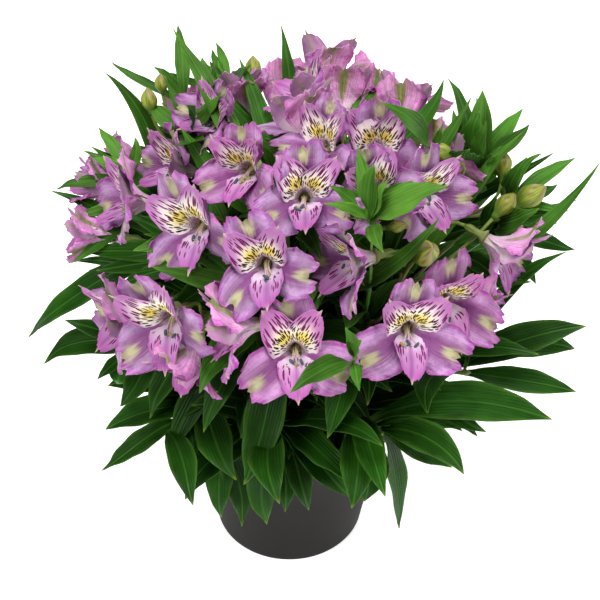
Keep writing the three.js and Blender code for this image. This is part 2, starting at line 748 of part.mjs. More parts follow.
// Leaves
function leafCurve({ name, seat, tip, arch }) {
  const foot = stems[name].curve.getPoint(seatShare(seat));
  const chord = tip.clone().sub(foot);
  const rise = arch * chord.length();
  const bulge = UP.clone().addScaledVector(vec(-foot.x, -foot.y, 0).normalize(), 0.35);
  bulge.addScaledVector(chord, -bulge.dot(chord) / chord.lengthSq()).normalize();
  const curve = new THREE.CubicBezierCurve3(foot,
    foot.clone().addScaledVector(chord, 0.3).addScaledVector(bulge, rise * 1.2),
    foot.clone().addScaledVector(chord, 0.72).addScaledVector(bulge, rise * 1.1), tip);
  return { curve, bulge };
}

function leafStations(shape) {
  const { curve, bulge } = leafCurve(shape);
  return shape.stations.map(([t, share]) => {
    const tangent = curve.getTangent(t);
    const side = tangent.clone().cross(bulge).normalize()
      .applyAxisAngle(tangent, rad(shape.twist));
    return { middle: curve.getPoint(t), side, normal: side.clone().cross(tangent),
      width: shape.width * share };
  });
}

// The side of the stem that faces a leaf's way and lies flat with its blade. Where
// the blade lies the other way up, its root is turned half round.
function leafSlot(shape, blade) {
  const { curve } = leafCurve(shape);
  const heading = curve.getPoint(0.3).sub(curve.v0).normalize();
  let best = null;
  for (const slot of slotsAt(stems[shape.name], seatShare(shape.seat))) {
    const flat = slot.side.dot(blade.side);
    const facing = slot.middle.clone().sub(curve.v0).normalize().dot(heading);
    const score = 1.4 * facing + Math.abs(flat);
    if (facing > 0.25 && (!best || score > best.score)) {
      best = { ...slot, score, turned: flat < 0 };
    }
  }
  return best;
}

const LEAF_TRIES = 140;
const FOOT_CHOICES = 14;
const LEAF_FREE_FROM = 0.1;
const STEM_SEATS = 20;
const LOWEST_SEAT = 3;
const RULE_SEAT_START = 5;

function seatShare(seat) {
  return (seat + 0.5) / STEM_SEATS;
}

// Seats on the stems that a leaf can grow from, nearest to its goal first.
function footChoices(goal) {
  const choices = [];
  for (const name of Object.keys(stems)) {
    for (let seat = LOWEST_SEAT; seat < STEM_SEATS; seat += 1) {
      const point = stems[name].curve.getPoint(seatShare(seat));
      choices.push({ name, seat, distance: point.distanceTo(goal) });
    }
  }
  return choices.sort((a, b) => a.distance - b.distance);
}

function shapedLeaf(index, attempt) {
  const [tip, goal, width] = shapedLeaves[index];
  const draw = seeded(20000 + index * 37 + attempt);
  const round = Math.floor(attempt / FOOT_CHOICES);
  const jitter = () => (2 * draw() - 1) * round;
  const { name, seat } = footChoices(vec(...goal))[attempt % FOOT_CHOICES];
  return {
    name,
    seat,
    tip: vec(tip[0] + 2.5 * jitter(), tip[1] + 2.5 * jitter(),
      tip[2] - 2 * Math.abs(jitter())),
    width: width * (1 - 0.04 * round),
    arch: LEAF_ARCH + 0.04 * jitter(),
    twist: 12 * jitter(),
    stations: LONG_LEAF,
  };
}

function ruleLeaf(name, order, count, attempt) {
  const stemOrder = Object.keys(stems).indexOf(name);
  const draw = seeded(40000 + stemOrder * 211 + order * 17 + attempt * 3);
  const isLeafy = name.startsWith('leafy');
  const seat = Math.floor(RULE_SEAT_START + (STEM_SEATS - RULE_SEAT_START)
    * (order + 0.99 * draw()) / count);
  const share = seatShare(seat);
  const foot = stems[name].curve.getPoint(share);
  const outward = Math.atan2(foot.y, foot.x);
  const spin = rad(GOLDEN_TURN * (order + stemOrder * 2) + 40 * (draw() - 0.5)
    + attempt * 23 * (attempt % 2 ? 1 : -1));
  const heading = outward + (isLeafy ? 0.55 : 0.8) * Math.atan2(Math.sin(spin), Math.cos(spin));
  const rise = rad((isLeafy ? -4 : 6) + 44 * share * draw() + 10 * (draw() - 0.5));
  const length = (isLeafy ? 74 : 60) + 26 * draw() - 0.4 * attempt;
  const width = ((isLeafy ? 19 : 15) + 7 * draw()) * (1 - 0.006 * attempt);
  const tip = foot.clone().add(vec(Math.cos(heading) * Math.cos(rise),
    Math.sin(heading) * Math.cos(rise), Math.sin(rise)).multiplyScalar(length));
  return { name, seat, tip, width, arch: LEAF_ARCH, twist: 16 * (draw() - 0.5),
    stations: isLeafy ? LONG_LEAF : SHORT_LEAF };
}

function growLeaf(propose) {
  for (let attempt = 0; attempt < LEAF_TRIES; attempt += 1) {
    const shape = propose(attempt);
    const { name } = shape;
    const stations = leafStations(shape);
    const slot = leafSlot(shape, stations[0]);
    if (!slot) continue;
    const sign = slot.turned ? -1 : 1;
    const root = { middle: slot.middle, side: slot.side.clone().multiplyScalar(sign),
      normal: slot.normal.clone().multiplyScalar(sign), width: slot.width };
    const blade = (first, grow) => bladeSolid([first, ...stations], LEAF_FOLD,
      LEAF_THICKNESS, grow);
    if (!isClear(blade(root, CLEARANCE), [`${name}_rod`])) continue;
    const off = slot.middle.clone().lerp(stations[0].middle, LEAF_FREE_FROM);
    if (!isClear(blade({ ...root, middle: off }, CLEARANCE), [])) continue;
    keep(name, blade(root, 0));
    stems[name].leaves.push({ seat: shape.seat, slot, stations });
    return true;
  }
  return false;
}

// The skin of a stalk from the four corners of its face to its closed end.
function addStalk({ face, rings }, faceCorners, addPoint, triangles) {
  let low = rings[0].map((corner) => faceCorners[face.corners.indexOf(corner)]);
  for (const corners of rings.slice(1)) {
    const high = corners.map(addPoint);
    for (let k = 0; k < STEM_SIDES; k += 1) {
      const next = (k + 1) % STEM_SIDES;
      addQuad(triangles, low[k], low[next], high[next], high[k]);
    }
    low = high;
  }
  addQuad(triangles, ...low);
}

// A stem, its leaves, its pedicels and its buds in one skin.
function stemSolid(name) {
  const stem = stems[name];
  const positions = [];
  const addPoint = (corner) => positions.push(corner.x, corner.y, corner.z) / 3 - 1;
  const triangles = [];
  const levels = stem.rings.map((corners, ring) => ({ at: (ring - 1) / STEM_STEPS, corners,
    ring }));
  const reach = LEAF_THICKNESS / 2 / stem.length;
  for (const seat of new Set(stem.leaves.map((leaf) => leaf.seat))) {
    const share = seatShare(seat);
    levels.push({ at: share - reach, corners: bandAt(stem, share - reach), seat });
    levels.push({ at: share + reach, corners: bandAt(stem, share + reach) });
  }
  levels.sort((a, b) => a.at - b.at);
  const rings = levels.map(({ corners }) => corners.map(addPoint));
  for (let i = 0; i + 1 < rings.length; i += 1) {
    const low = rings[i];
    const high = rings[i + 1];
    for (let k = 0; k < STEM_SIDES; k += 1) {
      const next = (k + 1) % STEM_SIDES;
      const leaf = stem.leaves.find(({ seat, slot }) => seat === levels[i].seat
        && slot.k === k);
      const stalk = stem.stalks.find(({ face }) => face.ring === levels[i].ring
        && face.k === k);
      if (stalk) {
        addStalk(stalk, [low[k], low[next], high[next], high[k]], addPoint, triangles);
      } else if (leaf) {
        const [tl, tr, ul, ur] = leaf.slot.turned
          ? [low[k], low[next], high[k], high[next]]
          : [high[next], high[k], low[next], low[k]];
        bladeFaces([[tl, tl, tr, ul, ul, ur], ...leaf.stations.map((station) => ringAt(
          station, LEAF_FOLD, LEAF_THICKNESS / 2, 0, addPoint))], triangles);
      } else {
        addQuad(triangles, low[k], low[next], high[next], high[k]);
      }
    }
  }
  const [foot, top] = [rings[0], rings[rings.length - 1]];
  addQuad(triangles, foot[0], foot[3], foot[2], foot[1]);
  const crown = stem.stalks.find(({ face }) => face.ring === stem.rings.length - 1);
  if (crown) addStalk(crown, top, addPoint, triangles);
  else addQuad(triangles, ...top);
  return solidFrom(positions, triangles);
}

shapedLeaves.forEach((row, index) => {
  growLeaf((attempt) => shapedLeaf(index, attempt));
});
for (const name of Object.keys(stems)) {
  const count = name.startsWith('leafy') ? RULE_LEAVES_LEAFY : RULE_LEAVES_FLOWERING;
  for (let order = 0; order < count; order += 1) {
    growLeaf((attempt) => ruleLeaf(name, order, count, attempt));
  }
}

// The whole plant in its pot
const plant = new THREE.Group();

function addMesh(name, solid, material) {
  const mesh = new THREE.Mesh(geometryFrom(solid), material);
  mesh.name = name;
  plant.add(mesh);
}

addMesh('pot', pot, potGrey);
addMesh('soil', soil, soilBrown);
for (const name of Object.keys(stems)) {
  addMesh(`stem_${name}`, stemSolid(name), leafGreen);
}
bloomSolids.forEach((solid, index) => {
  addMesh(`bloom_${String(index + 1).padStart(2, '0')}`, solid, tepalLilac);
});

export default plant;
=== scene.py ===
# A Peruvian lily in its pot, put together from the pot up: pot, soil, stems, leaves,
# buds and blooms. The plant's growing rules are the ones its solids were grown by, and
# each stalk, leaf and bloom is looked up in those solids before it is dressed.

import math

import bpy
import numpy as np
from mathutils.kdtree import KDTree
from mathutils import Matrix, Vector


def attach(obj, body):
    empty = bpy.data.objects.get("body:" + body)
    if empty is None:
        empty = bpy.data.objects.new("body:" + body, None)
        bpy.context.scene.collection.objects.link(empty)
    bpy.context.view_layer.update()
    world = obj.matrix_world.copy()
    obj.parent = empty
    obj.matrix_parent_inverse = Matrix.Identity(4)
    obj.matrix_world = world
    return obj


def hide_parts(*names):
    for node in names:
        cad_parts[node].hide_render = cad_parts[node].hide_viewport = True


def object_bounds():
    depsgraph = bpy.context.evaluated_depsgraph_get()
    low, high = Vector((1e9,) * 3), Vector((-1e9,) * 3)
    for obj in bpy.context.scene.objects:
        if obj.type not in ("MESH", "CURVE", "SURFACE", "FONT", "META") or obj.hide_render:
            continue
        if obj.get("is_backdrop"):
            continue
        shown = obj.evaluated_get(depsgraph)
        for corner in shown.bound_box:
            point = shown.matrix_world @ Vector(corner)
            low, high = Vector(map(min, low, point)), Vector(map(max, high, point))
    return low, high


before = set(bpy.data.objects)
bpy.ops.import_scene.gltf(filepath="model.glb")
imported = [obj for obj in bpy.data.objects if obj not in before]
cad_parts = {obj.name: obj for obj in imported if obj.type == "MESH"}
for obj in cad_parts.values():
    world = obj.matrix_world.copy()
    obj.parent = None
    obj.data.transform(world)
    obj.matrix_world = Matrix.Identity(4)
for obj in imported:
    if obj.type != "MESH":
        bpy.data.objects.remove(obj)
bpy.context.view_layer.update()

# Pot
# A thin nursery pot, injection moulded in one piece from anthracite polypropylene.
# Its wall is turned from the outer radius at each height, up to a rounded lip.
POT_HEIGHT = 135
POT_RIM_RADIUS = 85
POT_BASE_RADIUS = 54
POT_FLARE = 0.29
POT_WALL = 2.6
POT_FLOOR = 4
POT_SEGMENTS = 160
LIP_HEIGHT = 132
MM = 0.001


def pot_radius(height):
    """The pot's outer radius at a height, with its wall flaring a little to the rim."""
    t = height / POT_HEIGHT
    return POT_BASE_RADIUS + (POT_RIM_RADIUS - POT_BASE_RADIUS) * (
        (1 - POT_FLARE) * t + POT_FLARE * t**3
    )


def linear(hex_colour):
    """An sRGB hex colour as linear red, green, blue and alpha."""
    parts = [int(hex_colour[i : i + 2], 16) / 255 for i in (1, 3, 5)]
    return [p / 12.92 if p <= 0.04045 else ((p + 0.055) / 1.055) ** 2.4 for p in parts] + [1.0]


def add(tree, kind, inputs=None, **settings):
    """Adds a node with its settings; each input is a value or another node's socket."""
    made = tree.nodes.new(kind)
    for name, value in settings.items():
        setattr(made, name, value)
    for socket, value in (inputs or {}).items():
        if isinstance(value, bpy.types.NodeSocket):
            tree.links.new(value, made.inputs[socket])
        else:
            made.inputs[socket].default_value = value
    return made


def start_material(name, **settings):
    """A material with its shader linked to the output, ready for its pattern."""
    made = bpy.data.materials.new(name)
    made.use_nodes = True
    tree = made.node_tree
    tree.nodes.clear()
    shader = add(tree, "ShaderNodeBsdfPrincipled", settings)
    add(tree, "ShaderNodeOutputMaterial", {"Surface": shader.outputs[0]})
    return made, tree, shader


def finish(tree, shader, colour, height, strength, depth, under=None):
    """Gives a shader its colour, and a relief that a pattern raises by up to depth."""
    relief = add(tree, "ShaderNodeBump", {"Height": height, "Strength": strength, "Distance": depth})
    if under is not None:
        tree.links.new(under, relief.inputs["Normal"])
    tree.links.new(colour, shader.inputs["Base Color"])
    tree.links.new(relief.outputs[0], shader.inputs["Normal"])


def build_mesh(name, points, faces):
    """A mesh in metres from points in millimetres."""
    mesh = bpy.data.meshes.new(name)
    mesh.from_pydata((np.asarray(points) * MM).tolist(), [], faces)
    mesh.shade_smooth()
    return mesh


def show(name, mesh):
    """An object for a mesh, standing where the mesh says."""
    made = bpy.data.objects.new(name, mesh)
    bpy.context.scene.collection.objects.link(made)
    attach(made, "root")
    return made


def turned(outline, segments):
    """Points and faces of a closed skin turned about the pot's axis."""
    points, faces, rings = [], [], []
    for radius, height in outline:
        if radius == 0:
            rings.append([len(points)] * segments)
            points.append((0, 0, height))
            continue
        rings.append(list(range(len(points), len(points) + segments)))
        for k in range(segments):
            angle = 2 * math.pi * k / segments
            points.append((radius * math.cos(angle), radius * math.sin(angle), height))
    for low, high in zip(rings, rings[1:]):
        for k in range(segments):
            n = (k + 1) % segments
            corners = [low[k], low[n], high[n], high[k]]
            faces.append(list(dict.fromkeys(corners)))
    return points, faces


# Radius and height of each corner: under the floor, round the foot ring, up the
# outside, over the lip, and down the inside to the floor
outline = [(0, 1.4), (47, 1.4), (49.5, 0.9), (50.5, 0), (52.6, 0), (53.6, 0.35), (54.2, 1.3)]
outline += [(pot_radius(height), height) for height in range(4, LIP_HEIGHT, 4)]
outline += [(84.25, 132.6), (84.75, 133.6), (84.8, 134.3), (84.4, 134.85), (83.7, 135)]
outline += [(83.0, 134.85), (82.4, 134.3), (82.0, 133.2)]
outline += [(pot_radius(height) - POT_WALL, height) for height in range(LIP_HEIGHT - 4, 6, -8)]
outline += [(pot_radius(POT_FLOOR) - POT_WALL - 1.5, POT_FLOOR), (0, POT_FLOOR)]

# Moulded polypropylene, IOR 1.49: a satin skin with a fine spark-eroded grain that
# breaks up the highlight, and a faint cloudiness where the melt cooled unevenly.
polypropylene, tree, shader = start_material(
    "moulded_polypropylene_anthracite", Roughness=0.65, IOR=1.49, **{"Specular IOR Level": 0.12}
)
place = add(tree, "ShaderNodeTexCoord").outputs["Object"]
cloud = add(tree, "ShaderNodeTexNoise", {"Vector": place, "Scale": 28.0, "Detail": 3.0})
grain = add(tree, "ShaderNodeTexNoise", {"Vector": place, "Scale": 1300.0, "Detail": 2.0})
tone = add(
    tree,
    "ShaderNodeMix",
    {0: cloud.outputs["Fac"], 6: linear("#1B1A18"), 7: linear("#232120")},
    data_type="RGBA",
)
finish(tree, shader, tone.outputs[2], grain.outputs["Fac"], 0.25, 0.0001)

pot_mesh = build_mesh("pot_skin", *turned(outline, POT_SEGMENTS))
pot_mesh.materials.append(polypropylene)
pot = show("moulded_pot", pot_mesh)
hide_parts("pot")

# Potting soil
# Dark peat with bits of bark and a few grains of pumice, filled to 21 mm under the
# rim. The bed is one lumpy skin, and its crumbs are strewn over the top of it.
SOIL_TOP = 114
SOIL_GAP = 0.35
SOIL_FOOT = 60
SOIL_SEGMENTS = 72
LUMP_HEIGHT = 0.9
CRUMB_SPACING = 2.6
CRUMB_RADIUS = 1.5

bed_radius = pot_radius(SOIL_TOP) - POT_WALL - SOIL_GAP - 0.4
bed = [(0, SOIL_FOOT), (pot_radius(SOIL_FOOT) - POT_WALL - 1, SOIL_FOOT), (bed_radius, SOIL_TOP - 1)]
bed += [(bed_radius * 0.97, SOIL_TOP)]
bed += [(bed_radius * tenth / 10, SOIL_TOP) for tenth in range(9, -1, -1)]
points, faces = turned(bed, SOIL_SEGMENTS)
points = np.array(points)
x, y, z = points.T
lumps = np.sin(x * 0.31 + 1) * np.cos(y * 0.27) + 0.6 * np.sin(x * 0.83 + y * 0.71)
points[:, 2] += np.where(z > SOIL_TOP - 0.5, lumps * LUMP_HEIGHT - 0.6, 0)
bed_mesh = build_mesh("soil_bed", points, faces)

# Damp peat, IOR 1.45: nearly black and dull, with pale bark and pumice grains.
peat, tree, shader = start_material("damp_peat", Roughness=0.92, IOR=1.45)
place = add(tree, "ShaderNodeTexCoord").outputs["Object"]
crumb = add(tree, "ShaderNodeTexVoronoi", {"Vector": place, "Scale": 420.0})
clod = add(tree, "ShaderNodeTexNoise", {"Vector": place, "Scale": 160.0, "Detail": 6.0})
tones = add(tree, "ShaderNodeValToRGB", {"Fac": crumb.outputs["Color"]})
ramp = tones.color_ramp
ramp.elements[0].color, ramp.elements[1].color = linear("#17100C"), linear("#3A2A1E")
ramp.elements.new(0.93).color = linear("#5A4431")
ramp.elements.new(0.985).color = linear("#A59A88")
shade = add(
    tree,
    "ShaderNodeMix",
    {0: 0.55, 6: tones.outputs[0], 7: clod.outputs["Fac"]},
    data_type="RGBA",
    blend_type="MULTIPLY",
)
finish(tree, shader, shade.outputs[2], clod.outputs["Fac"], 0.8, 0.001)
bed_mesh.materials.append(peat)


def start_tree(name, **inputs):
    """A tree of geometry nodes, with the sockets of its named inputs."""
    tree = bpy.data.node_groups.new(name, "GeometryNodeTree")
    for socket, kind in {"Geometry": "Geometry", **inputs}.items():
        tree.interface.new_socket(socket, in_out="INPUT", socket_type="NodeSocket" + kind)
    tree.interface.new_socket("Geometry", in_out="OUTPUT", socket_type="NodeSocketGeometry")
    return tree, tree.nodes.new("NodeGroupInput").outputs


crumbs, given = start_tree("strewn_crumbs", Density="Float", Radius="Float", Seed="Int")
up = add(crumbs, "GeometryNodeInputNormal")
level = add(crumbs, "ShaderNodeSeparateXYZ", {0: up.outputs[0]})
top_side = add(crumbs, "ShaderNodeMath", {0: level.outputs[2], 1: 0.6}, operation="GREATER_THAN")
strewn = add(
    crumbs,
    "GeometryNodeDistributePointsOnFaces",
    {"Mesh": given["Geometry"], "Selection": top_side.outputs[0], "Density": given["Density"],
     "Seed": given["Seed"]},
)
lump = add(crumbs, "GeometryNodeMeshIcoSphere", {"Radius": given["Radius"], "Subdivisions": 1})
turn = add(
    crumbs,
    "FunctionNodeRandomValue",
    {"Max": (6.28, 6.28, 6.28), "Seed": given["Seed"]},
    data_type="FLOAT_VECTOR",
)
size = add(
    crumbs,
    "FunctionNodeRandomValue",
    {"Min": (0.35, 0.3, 0.2), "Max": (1.25, 0.9, 0.6), "Seed": given["Seed"]},
    data_type="FLOAT_VECTOR",
)
laid = add(
    crumbs,
    "GeometryNodeInstanceOnPoints",
    {"Points": strewn.outputs["Points"], "Instance": lump.outputs["Mesh"],
     "Rotation": turn.outputs["Value"], "Scale": size.outputs["Value"]},
)
both = add(crumbs, "GeometryNodeJoinGeometry", {0: laid.outputs[0]})
crumbs.links.new(given["Geometry"], both.inputs[0])
real = add(crumbs, "GeometryNodeRealizeInstances", {0: both.outputs[0]})
dressed = add(crumbs, "GeometryNodeSetMaterial", {"Geometry": real.outputs[0], "Material": peat})
add(crumbs, "NodeGroupOutput", {0: dressed.outputs[0]})


def grown(mesh, tree, **inputs):
    """The plain mesh that a tree of geometry nodes makes from a mesh."""
    holder = bpy.data.objects.new("holder", mesh)
    bpy.context.scene.collection.objects.link(holder)
    modifier = holder.modifiers.new("nodes", "NODES")
    modifier.node_group = tree
    for item in tree.interface.items_tree:
        if item.in_out == "INPUT" and item.name in inputs:
            modifier[item.identifier] = inputs[item.name]
    seen = bpy.context.evaluated_depsgraph_get()
    made = bpy.data.meshes.new_from_object(holder.evaluated_get(seen))
    bpy.data.objects.remove(holder)
    return made


soil = show(
    "potting_soil",
    grown(bed_mesh, crumbs, Density=1e6 / CRUMB_SPACING**2, Radius=CRUMB_RADIUS * MM, Seed=7),
)
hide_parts("soil")

# Growing rules
# A plant isn't made but grown: every stem, stalk, leaf and bloom of the solids came
# from the rows and rules below, and from the first of several tries that had room.
# The same rules are followed here, and the solids tell which try was taken.
STEM_FOOT_RADIUS = 2.5
STEM_TOP_RADIUS = 1.9
STEM_RISE = 62
UMBEL_DEPTH = 40
UMBEL_HEART = np.array([6.0, 0, 185])
FOOT_SPREAD = 0.52
FOOT_START = 8
THROAT_DEPTH = 22
KNOB_RINGS = [(0, 3.6), (3, 3.3), (5.2, 2)]
STEM_STEPS = 5
SOLID_SIDES = 4
SEED_PRIME = 2147483647
MATCH = 0.03
UP = np.array([0.0, 0, 1])

flowering = [
    "left", "left_low", "left_mid", "top_left", "front_left", "front", "front_mid",
    "front_right", "top_right", "top_back", "back_left", "right_back", "right", "back",
]
leafy = {
    "leafy_front_left": ((-42, -44), (-84, -86, 176)),
    "leafy_front": ((-6, -62), (-14, -104, 182)),
    "leafy_front_right": ((34, -54), (62, -96, 186)),
    "leafy_right": ((60, -18), (122, -44, 190)),
    "leafy_left": ((-62, -8), (-116, -28, 196)),
    "leafy_back_left": ((-40, 40), (-72, 84, 192)),
    "leafy_back": ((4, 62), (8, 112, 186)),
    "leafy_back_right": ((50, 34), (96, 66, 190)),
}

# Stem, throat x, y, z, facing azimuth, facing elevation, roll, openness
blooms = [
    ("top_right", 57, -4, 360, -84, 48, -3, 0.9),
    ("top_left", 11, -61, 365, -88, 46, 0, 0.85),
    ("front", 5, -120, 287, -92, 33, 6, 1),
    ("front_right", 77, -100, 285, -80, 25, -4, 1),
    ("right", 102, -60, 278, -70, 28, 0, 1),
    ("front_mid", -13, -90, 337, -98, 40, 26, 0.88),
    ("left_mid", -59, -57, 341, -132, 36, 40, 0.95),
    ("left_low", -78, -92, 293, -127, 26, 34, 1),
    ("top_left", -26, -30, 364, -122, 44, 14, 0.75),
    ("front_mid", 42, -82, 330, -150, 14, 0, 0.8),
    ("front_left", -24, -112, 306, -165, 10, 0, 0.8),
    ("front_left", -64, -100, 264, -122, -22, 0, 0.75),
    ("right_back", 84, -28, 340, -62, 38, 0, 0.8),
    ("top_right", 54, -34, 350, -70, 40, 10, 0.7),
    ("top_back", 10, 6, 366, 118, 38, 0, 0.9),
    ("left", -100, -12, 320, -170, 26, 20, 0.8),
    ("left_low", -108, -48, 248, -158, 6, 0, 0.9),
    ("right", 130, -12, 284, -14, 10, 0, 0.85),
    ("right", 121, -42, 254, -22, -6, 0, 0.4),
    ("top_back", 36, 72, 332, 92, 34, 0, 0.75),
    ("top_back", 18, 46, 350, 165, 44, 0, 0.75),
    ("top_right", 28, -14, 362, -118, 52, 0, 0.7),
    ("right_back", 76, 60, 334, 70, 44, 0, 0.75),
    ("right_back", 106, 42, 318, 24, 34, 0, 0.8),
    ("back_left", -62, 50, 326, 158, 40, 0, 0.6),
    ("back_left", -30, 66, 338, 110, 60, 0, 0.55),
    ("back_left", -46, 36, 346, -150, 56, 0, 0.6),
    ("left", -122, 22, 300, 174, 28, 0, 0.4),
    ("left", -126, -6, 284, 178, 12, 0, 0.4),
    ("left_mid", -80, 7, 328, -172, 42, 0, 0.7),
    ("back", 58, 96, 298, 56, 14, 0, 1),
    ("back", 0, 118, 290, 92, 12, 0, 1),
    ("back", -58, 100, 292, 122, 14, 0, 1),
    ("back_left", -108, 50, 282, 158, 12, 0, 0.9),
    ("right_back", 112, 52, 270, 22, 8, 0, 0.9),
    ("top_back", 24, 104, 326, 84, 34, 0, 0.9),
]

# Stem, middle x, y, z, azimuth, elevation, length
buds = [
    ("right_back", 101, 14, 336, 160, 20, 17),
    ("right_back", 143, 28, 312, 80, 64, 19),
    ("right_back", 160, 14, 298, 20, 24, 24),
    ("right", 136, 10, 292, 40, 30, 20),
    ("right", 150, -2, 284, -60, 10, 12),
    ("front_right", 86, -68, 322, -60, 54, 26),
    ("top_right", 68, -62, 340, -20, 30, 13),
    ("back_left", -92, 60, 342, 120, 70, 17),
    ("back_left", -84, 68, 350, 110, 76, 14),
    ("left_low", -96, -72, 232, -140, -24, 18),
    ("back", -24, 120, 322, 96, 46, 18),
    ("back", 88, 88, 306, 40, 40, 16),
]

# Tip, the place the foot comes from, width
shaped_leaves = [
    ((-182, -20, 202), (-110, -30, 262), 18),
    ((-155, 10, 310), (-105, 0, 300), 12),
    ((-145, -10, 262), (-105, -15, 280), 9),
    ((-140, 0, 294), (-100, -10, 272), 13),
    ((-125, 30, 346), (-90, 15, 305), 12),
    ((-135, 20, 334), (-95, 10, 296), 10),
    ((-120, 70, 370), (-72, 38, 315), 14),
    ((-70, 75, 396), (-66, 45, 320), 15),
    ((-55, 75, 370), (-60, 50, 310), 12),
    ((-86, 62, 368), (-66, 45, 330), 10),
    ((-50, 86, 378), (-30, 55, 320), 12),
    ((-44, 72, 366), (-26, 50, 320), 12),
    ((0, 100, 376), (0, 70, 310), 12),
    ((-24, 66, 372), (-10, 44, 315), 13),
    ((50, 90, 358), (50, 64, 300), 12),
    ((105, 60, 362), (100, 36, 300), 14),
    ((60, -16, 398), (86, 0, 335), 15),
    ((125, 50, 360), (112, 26, 300), 14),
    ((155, 40, 350), (125, 25, 300), 12),
    ((160, 34, 346), (126, 18, 296), 12),
    ((186, 20, 332), (138, 8, 282), 12),
    ((168, 30, 322), (128, 18, 290), 10),
    ((184, 10, 290), (130, 8, 272), 9),
    ((186, -5, 266), (125, 0, 258), 11),
    ((190, 14, 306), (134, 8, 290), 8),
    ((165, -20, 256), (120, -10, 250), 13),
    ((206, -30, 226), (124, -24, 215), 22),
    ((198, -58, 186), (106, -44, 215), 17),
    ((178, -78, 180), (84, -55, 200), 27),
    ((160, -50, 226), (115, -36, 205), 15),
    ((80, -104, 96), (62, -80, 180), 22),
    ((110, -100, 156), (55, -75, 195), 24),
    ((118, -84, 176), (70, -66, 210), 16),
    ((50, -126, 150), (38, -82, 215), 28),
    ((25, -132, 222), (56, -90, 236), 22),
    ((42, -122, 150), (6, -80, 185), 19),
    ((15, -112, 124), (8, -74, 170), 16),
    ((-2, -110, 120), (-2, -70, 165), 15),
    ((-30, -132, 176), (20, -88, 226), 27),
    ((-15, -108, 104), (-16, -74, 170), 20),
    ((-32, -102, 94), (-40, -66, 160), 21),
    ((-47, -98, 100), (-46, -62, 158), 19),
    ((-30, -122, 190), (-34, -78, 215), 20),
    ((-54, -120, 214), (-44, -80, 230), 17),
    ((-80, -96, 164), (-54, -62, 200), 19),
    ((-66, -98, 158), (-56, -62, 185), 15),
    ((-95, -82, 186), (-60, -54, 216), 19),
    ((-115, -62, 176), (-74, -44, 205), 17),
    ((-118, -46, 178), (-84, -32, 210), 15),
    ((-130, -50, 190), (-96, -36, 205), 9),
    ((-150, -30, 226), (-110, -26, 210), 12),
    ((-5, -150, 300), (38, -100, 276), 18),
    ((-80, -98, 338), (-42, -68, 290), 15),
    ((90, -70, 382), (66, -70, 350), 16),
    ((42, -44, 388), (40, -50, 350), 12),
    ((52, -56, 382), (48, -58, 346), 11),
    ((70, -60, 372), (58, -60, 340), 12),
    ((-90, -56, 328), (-52, -60, 316), 14),
    ((-66, 20, 370), (-48, 10, 340), 16),
    ((-46, 60, 356), (-36, 40, 334), 10),
    ((-4, -106, 318), (14, -95, 280), 14),
    ((36, -110, 300), (52, -88, 276), 14),
    ((-16, -60, 316), (-26, -50, 290), 12),
    ((26, -40, 346), (22, -50, 306), 12),
]


def seeded(seed):
    """A repeatable draw between 0 and 1, the same as the solids' own."""
    state = (seed * 7919 + 17) % SEED_PRIME

    def draw():
        nonlocal state
        state = state * 16807 % SEED_PRIME
        return state / SEED_PRIME

    draw()
    draw()
    return draw


def unit(vector):
    """The same direction, of length one."""
    return vector / math.sqrt(vector @ vector)


def cross(a, b):
    """The direction square to two others, added up in the order that the solids use."""
    return np.array(
        [a[1] * b[2] - a[2] * b[1], a[2] * b[0] - a[0] * b[2], a[0] * b[1] - a[1] * b[0]]
    )


def turned_about(vector, axis, degrees):
    """A direction turned about an axis of length one."""
    c, s = math.cos(math.radians(degrees)), math.sin(math.radians(degrees))
    return vector * c + cross(axis, vector) * s + axis * (axis @ vector) * (1 - c)


def bezier(corners, t):
    """A point, or a row of points, on the curve with these four corners."""
    a, b, c, d = corners
    t = np.asarray(t, float)[..., None]
    s = 1 - t
    return s**3 * a + 3 * s * s * t * b + 3 * s * t * t * c + t**3 * d


def slope(corners, t):
    """The curve's direction, of length one."""
    a, b, c, d = corners
    t = np.asarray(t, float)[..., None]
    s = 1 - t
    way = s * s * (b - a) + 2 * s * t * (c - b) + t * t * (d - c)
    return way / np.linalg.norm(way, axis=-1, keepdims=True)


def facing_frame(azimuth, elevation, roll):
    """The way a bloom faces, its upright, and its right as it looks at the viewer."""
    a, e = math.radians(azimuth), math.radians(elevation)
    facing = np.array([math.cos(a) * math.cos(e), math.sin(a) * math.cos(e), math.sin(e)])
    upright = turned_about(unit(UP - facing * facing[2]), facing, roll)
    return facing, upright, cross(upright, facing)


def bloom_place(index, attempt):
    """One try at a bloom: its facing, upright and right, and the base of its core."""
    x, y, z, azimuth, elevation, roll = blooms[index][1:7]
    draw = seeded(1000 + index * 101 + attempt * 7)
    reach = 2 + 0.11 * attempt if attempt else 0
    turn = 5 + 0.2 * attempt if attempt else 0
    jitters = [2 * draw() - 1 for _ in range(6)]
    facing, upright, right = facing_frame(
        azimuth + turn * jitters[0], elevation + turn * jitters[1], roll + turn * jitters[2]
    )
    throat = np.array([x, y, z]) + reach * (
        1.6 * facing * jitters[3] + 0.6 * right * jitters[4] + 0.6 * upright * jitters[5]
    )
    return facing, upright, right, throat - facing * THROAT_DEPTH


def solid_corners(node):
    """The corners of a solid, in millimetres, ready to be looked up."""
    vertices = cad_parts[node].data.vertices
    tree = KDTree(len(vertices))
    for vertex in vertices:
        tree.insert(vertex.co / MM, vertex.index)
    tree.balance()
    return tree


def has_corner(tree, point):
    """Whether a solid has a corner at a point."""
    return tree.find(point)[2] < MATCH


def rod_corner(point, way, radius, reference):
    """The first corner of a rod's ring at a point."""
    return point + unit(reference - way * (reference @ way)) * radius


